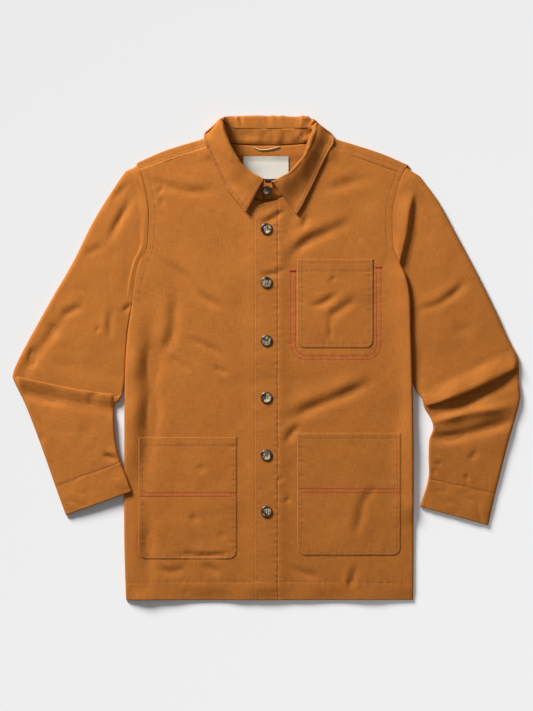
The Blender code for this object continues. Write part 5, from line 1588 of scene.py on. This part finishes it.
def make_stitching():
    """The tonal rows and the red ones, each as one piece."""
    sizes = bpy.context.scene.overshirt_sizes
    pitch, width = sizes.stitch_length / MM, sizes.thread_width / MM
    right, left = PLACKET_RIGHT_X, PLACKET_LEFT_X
    red = []
    tonal = sew([(-231.0, HEM_STITCH_Y - 1.0), (right - 1.0, HEM_STITCH_Y + 1.0)], body_height, pitch)
    tonal += sew([(left + 2.0, HEM_STITCH_Y + 1.0), (240.0, HEM_STITCH_Y - 2.0)], body_height, pitch)
    tonal += sew([(right + 1.5, HEM_STITCH_Y + 2.0), (left - 1.5, HEM_STITCH_Y + 2.0)], placket_height, pitch)
    for x in (right + 2.0, left - 1.5):
        tonal += sew([(x, HEM_Y + 1.0), (x, 250.0)], placket_height, pitch)
    for path in (RIGHT_TOPSTITCH, LEFT_TOPSTITCH):
        tonal += sew(path, body_height, pitch)
    for lift in YOKE_ROWS:
        for path in forward_line(lift):
            tonal += sew(path, yoke_front_height, pitch)
    for rows in POCKETS.values():
        def height(x, y):
            return pocket_height(rows, x, y)

        for inset in (2.0, rows.second_row):
            tonal += sew(pocket_outline(rows.pocket, inset), height, pitch)
        for drop in rows.hems:
            y = rows.pocket.top_y - drop
            tonal += sew(level_path(rows.pocket, y, y), height, pitch)
        for drop in rows.reds:
            y = rows.pocket.top_y - drop
            red += sew(level_path(rows.pocket, y, y - 0.5), height, pitch)
    for row, corner in RED_ROWS:
        red += sew(pocket_outline(row, 0.0, corner), body_height, pitch)
    for (x0, y), (x1, _) in RED_BARS:
        for shift in BAR_LINES:
            red += sew([(x0, y + shift), (x1, y + shift)], body_height, BAR_PITCH, BAR_RISE)
    for path, facing in leaf_rows():
        tonal += stitches(path, pitch, facing)
    for sleeve in SLEEVES.values():
        row = fine_rows(coarse_rows(sleeve), np.full(len(CUFF_ROW_SHARES), sleeve.end_key + CUFF_ROW))
        tonal += stitches(sleeve_point(sleeve, row, CUFF_ROW_SHARES, 1.0), pitch)
    settle(joined("tonal_stitching", grain(pitch * STITCH_SHARE, width), tonal, "thread"), "cotton_duck")
    settle(joined("red_stitching", grain(pitch * RED_SHARE, RED_WIDTH), red, "red_thread"), "cotton_duck")


# ---------------------------------------------------------------- stage
KEY_PLACE = (-2.02, 2.62, 1.58)      # metres; low and to the upper left, so that shallow folds show
KEY_TARGET = (0.0, 0.0, 0.0)
KEY_SIZE = 1.4
KEY_WATTS = 259.0
SKY = 0.2                          # light from all round
FLOOR_REACH = 6.0
FLOOR_GAP = 0.0004                 # below the shirt's lowest solid
PAPER_TONE = "#F1F1F1"
PAPER_ALBEDO = 0.94                # at most
CAMERA_HEIGHT = 3.0
CAMERA_Y = 0.0041
FRAME_HEIGHT = 711 * 1.65 * MM     # the longer side of the image at the surface


def lit_paper():
    """White paper graded to one tone: greyer near the light, and lit a little from below far from it."""
    paper, tree, shader = fresh(
        "graded_paper", Roughness=0.9, Specular_IOR_Level=0.0, Emission_Color=(1.0, 1.0, 1.0, 1.0))
    place = node(tree, "ShaderNodeNewGeometry").outputs["Position"]
    away = node(tree, "ShaderNodeVectorMath", {"operation": "DISTANCE"}, i0=place, i1=KEY_PLACE)
    away = away.outputs["Value"]
    key_light = math_node(tree, "MULTIPLY", math_node(tree, "POWER", away, -3.0),
                          KEY_WATTS * KEY_PLACE[2] / math.pi ** 2)
    light = math_node(tree, "ADD", key_light, SKY)
    tone = linear(PAPER_TONE)[0]
    albedo = math_node(tree, "MINIMUM", math_node(tree, "DIVIDE", tone, light), PAPER_ALBEDO)
    tree.links.new(albedo, shader.inputs["Base Color"])
    tree.links.new(math_node(tree, "SUBTRACT", tone, math_node(tree, "MULTIPLY", light, albedo)),
                   shader.inputs["Emission Strength"])
    return paper


def make_stage():
    """A pale floor, a big soft light from the upper left, an even sky and the camera straight above."""
    scene = bpy.context.scene
    floor_data = bpy.data.meshes.new("floor")
    corners = [(x * FLOOR_REACH, y * FLOOR_REACH, 0.0) for x, y in ((-1, -1), (1, -1), (1, 1), (-1, 1))]
    floor_data.from_pydata(corners, [], [(0, 1, 2, 3)])
    floor_data.materials.append(lit_paper())
    floor = place_object("floor", floor_data)
    floor.location.z = -FLOOR_GAP

    light_data = bpy.data.lights.new("key", "AREA")
    light_data.shape = "DISK"
    light_data.size = KEY_SIZE
    light_data.energy = KEY_WATTS
    light = bpy.data.objects.new("key", light_data)
    light.location = KEY_PLACE
    light.rotation_euler = (Vector(KEY_TARGET) - Vector(KEY_PLACE)).to_track_quat("-Z", "Y").to_euler()
    scene.collection.objects.link(light)
    world = bpy.data.worlds.new("studio")
    world.use_nodes = True
    world.node_tree.nodes["Background"].inputs[0].default_value = (1.0, 1.0, 1.0, 1.0)
    world.node_tree.nodes["Background"].inputs[1].default_value = SKY
    scene.world = world
    scene.view_settings.view_transform = "Standard"

    camera_data = bpy.data.cameras.new("camera")
    camera_data.sensor_width = 36.0
    camera_data.lens = 36.0 * CAMERA_HEIGHT / FRAME_HEIGHT
    camera_data.clip_start = 0.05
    camera = bpy.data.objects.new("camera", camera_data)
    camera.location = (0.0, CAMERA_Y, CAMERA_HEIGHT)
    scene.collection.objects.link(camera)
    scene.camera = camera


# ---------------------------------------------------------------- add-on
def colour_property(name, description, hex_colour):
    """A colour in the panel, given as sRGB."""
    return FloatVectorProperty(name=name, description=description, subtype="COLOR", size=3, min=0.0, max=1.0,
                               default=linear(hex_colour))


class OvershirtSizes(bpy.types.PropertyGroup):
    """Sizes of the shells and the sewing."""
    mesh_step: FloatProperty(name="Mesh step", description="Spacing of the points on the cloth",
                             default=2.5 * MM, subtype="DISTANCE", unit="LENGTH")
    stitch_length: FloatProperty(name="Stitch length", description="From one needle hole to the next",
                                 default=3.2 * MM, subtype="DISTANCE", unit="LENGTH")
    thread_width: FloatProperty(name="Thread width", description="Width of the topstitching thread",
                                default=0.95 * MM, subtype="DISTANCE", unit="LENGTH")


class OvershirtColours(bpy.types.PropertyGroup):
    """Colours of the cloth, thread, ribbon and buttons."""
    duck: colour_property("Duck", "Most of the cloth", "#AC6421")
    duck_deep: colour_property("Duck, deeper", "Where the dye took more", "#A45D1C")
    duck_pale: colour_property("Duck, rubbed", "Slubs and rubbed seams", "#C47B36")
    thread: colour_property("Thread", "Tonal topstitching", "#8E4E20")
    red_thread: colour_property("Red thread", "Contrast topstitching", "#B8281E")
    dark_thread: colour_property("Button thread", "Thread that holds the buttons", "#4A3422")
    horn_dark: colour_property("Horn, dark", "Ground of the buttons", "#1E1714")
    horn_brown: colour_property("Horn, brown", "Clouds in the buttons", "#4A3424")
    horn_cream: colour_property("Horn, cream", "Swirls in the buttons", "#B9AA8A")
    label: colour_property("Label", "Neck label ribbon", "#D6D3C6")
    tab: colour_property("Tab", "Size tab ribbon", "#0F0D0C")
    cord: colour_property("Loop", "Hanging loop cord", "#C9B98F")
    thread_spacing: FloatProperty(name="Thread spacing", description="Distance between threads of the duck",
                                  default=0.62 * MM, subtype="DISTANCE", unit="LENGTH")


class OVERSHIRT_OT_fronts(bpy.types.Operator):
    """Lay the two fronts"""
    bl_idname = "overshirt.fronts"
    bl_label = "Fronts"

    def execute(self, context):
        make_front("right_front", RIGHT_SIDE, -1.0, RIGHT_ARMPIT_Y, RIGHT_UPRIGHT_X, BUTTON_STAND_X,
                   RIGHT_POCKET.side_x, top_of_right_front)
        make_front("left_front", LEFT_SIDE, 1.0, LEFT_ARMPIT_Y, LEFT_UPRIGHT_X,
                   PLACKET_LEFT_X + 2.0 * SEAM_SHOW, LEFT_POCKET.side_x, top_of_left_front)
        return {"FINISHED"}


class OVERSHIRT_OT_placket(bpy.types.Operator):
    """Fold the placket down the left front"""
    bl_idname = "overshirt.placket"
    bl_label = "Placket"

    def execute(self, context):
        make_placket()
        return {"FINISHED"}


class OVERSHIRT_OT_back(bpy.types.Operator):
    """Lay the back and the yoke"""
    bl_idname = "overshirt.back"
    bl_label = "Back and yoke"

    def execute(self, context):
        make_back()
        make_yoke()
        return {"FINISHED"}


class OVERSHIRT_OT_sleeves(bpy.types.Operator):
    """Lay the sleeves and cuffs"""
    bl_idname = "overshirt.sleeves"
    bl_label = "Sleeves and cuffs"

    def execute(self, context):
        for name in SLEEVES:
            make_sleeve(name)
            make_cuff(name.replace("sleeve", "cuff"))
        return {"FINISHED"}


class OVERSHIRT_OT_collar(bpy.types.Operator):
    """Fold the collar"""
    bl_idname = "overshirt.collar"
    bl_label = "Collar"

    def execute(self, context):
        make_collar()
        return {"FINISHED"}


class OVERSHIRT_OT_pockets(bpy.types.Operator):
    """Sew on the patch pockets"""
    bl_idname = "overshirt.pockets"
    bl_label = "Pockets"

    def execute(self, context):
        for name in POCKETS:
            make_pocket(name)
        return {"FINISHED"}


class OVERSHIRT_OT_trim(bpy.types.Operator):
    """Add the neck label, size tab and hanging loop"""
    bl_idname = "overshirt.trim"
    bl_label = "Label, tab and loop"

    def execute(self, context):
        make_flat("neck_label", LABEL_X, LABEL_Y, 0.8, "label", "label_cloth", 3.0)
        make_flat("size_tab", TAB_X, TAB_Y, 0.8, "tab", "tab_cloth")
        make_loop()
        return {"FINISHED"}


class OVERSHIRT_OT_buttons(bpy.types.Operator):
    """Turn the buttons and sew them on"""
    bl_idname = "overshirt.buttons"
    bl_label = "Buttons"

    def execute(self, context):
        make_buttons()
        return {"FINISHED"}


class OVERSHIRT_OT_stitching(bpy.types.Operator):
    """Run the rows of topstitching"""
    bl_idname = "overshirt.stitching"
    bl_label = "Stitching"

    def execute(self, context):
        make_stitching()
        return {"FINISHED"}


class OVERSHIRT_OT_stage(bpy.types.Operator):
    """Set the floor, lights and camera"""
    bl_idname = "overshirt.stage"
    bl_label = "Stage"

    def execute(self, context):
        make_stage()
        return {"FINISHED"}


OPERATORS = (
    OVERSHIRT_OT_stage, OVERSHIRT_OT_back, OVERSHIRT_OT_fronts, OVERSHIRT_OT_placket,
    OVERSHIRT_OT_sleeves, OVERSHIRT_OT_collar, OVERSHIRT_OT_pockets, OVERSHIRT_OT_trim,
    OVERSHIRT_OT_buttons, OVERSHIRT_OT_stitching)


class OVERSHIRT_PT_panel(bpy.types.Panel):
    """Sizes, colours and steps of the overshirt"""
    bl_idname = "OVERSHIRT_PT_panel"
    bl_label = "Overshirt"
    bl_space_type = "VIEW_3D"
    bl_region_type = "UI"
    bl_category = "Overshirt"

    def draw(self, context):
        for group in (context.scene.overshirt_sizes, context.scene.overshirt_colours):
            for key in group.__annotations__:
                self.layout.prop(group, key)
        for operator in OPERATORS:
            self.layout.operator(operator.bl_idname)


CLASSES = (OvershirtSizes, OvershirtColours, *OPERATORS, OVERSHIRT_PT_panel)


def register():
    for made in CLASSES:
        bpy.utils.register_class(made)
    bpy.types.Scene.overshirt_sizes = PointerProperty(type=OvershirtSizes)
    bpy.types.Scene.overshirt_colours = PointerProperty(type=OvershirtColours)


def unregister():
    del bpy.types.Scene.overshirt_colours
    del bpy.types.Scene.overshirt_sizes
    for made in reversed(CLASSES):
        bpy.utils.unregister_class(made)


def main():
    register()
    for operator in OPERATORS:
        group, name = operator.bl_idname.split(".")
        getattr(getattr(bpy.ops, group), name)()


if __name__ == "__main__":
    main()
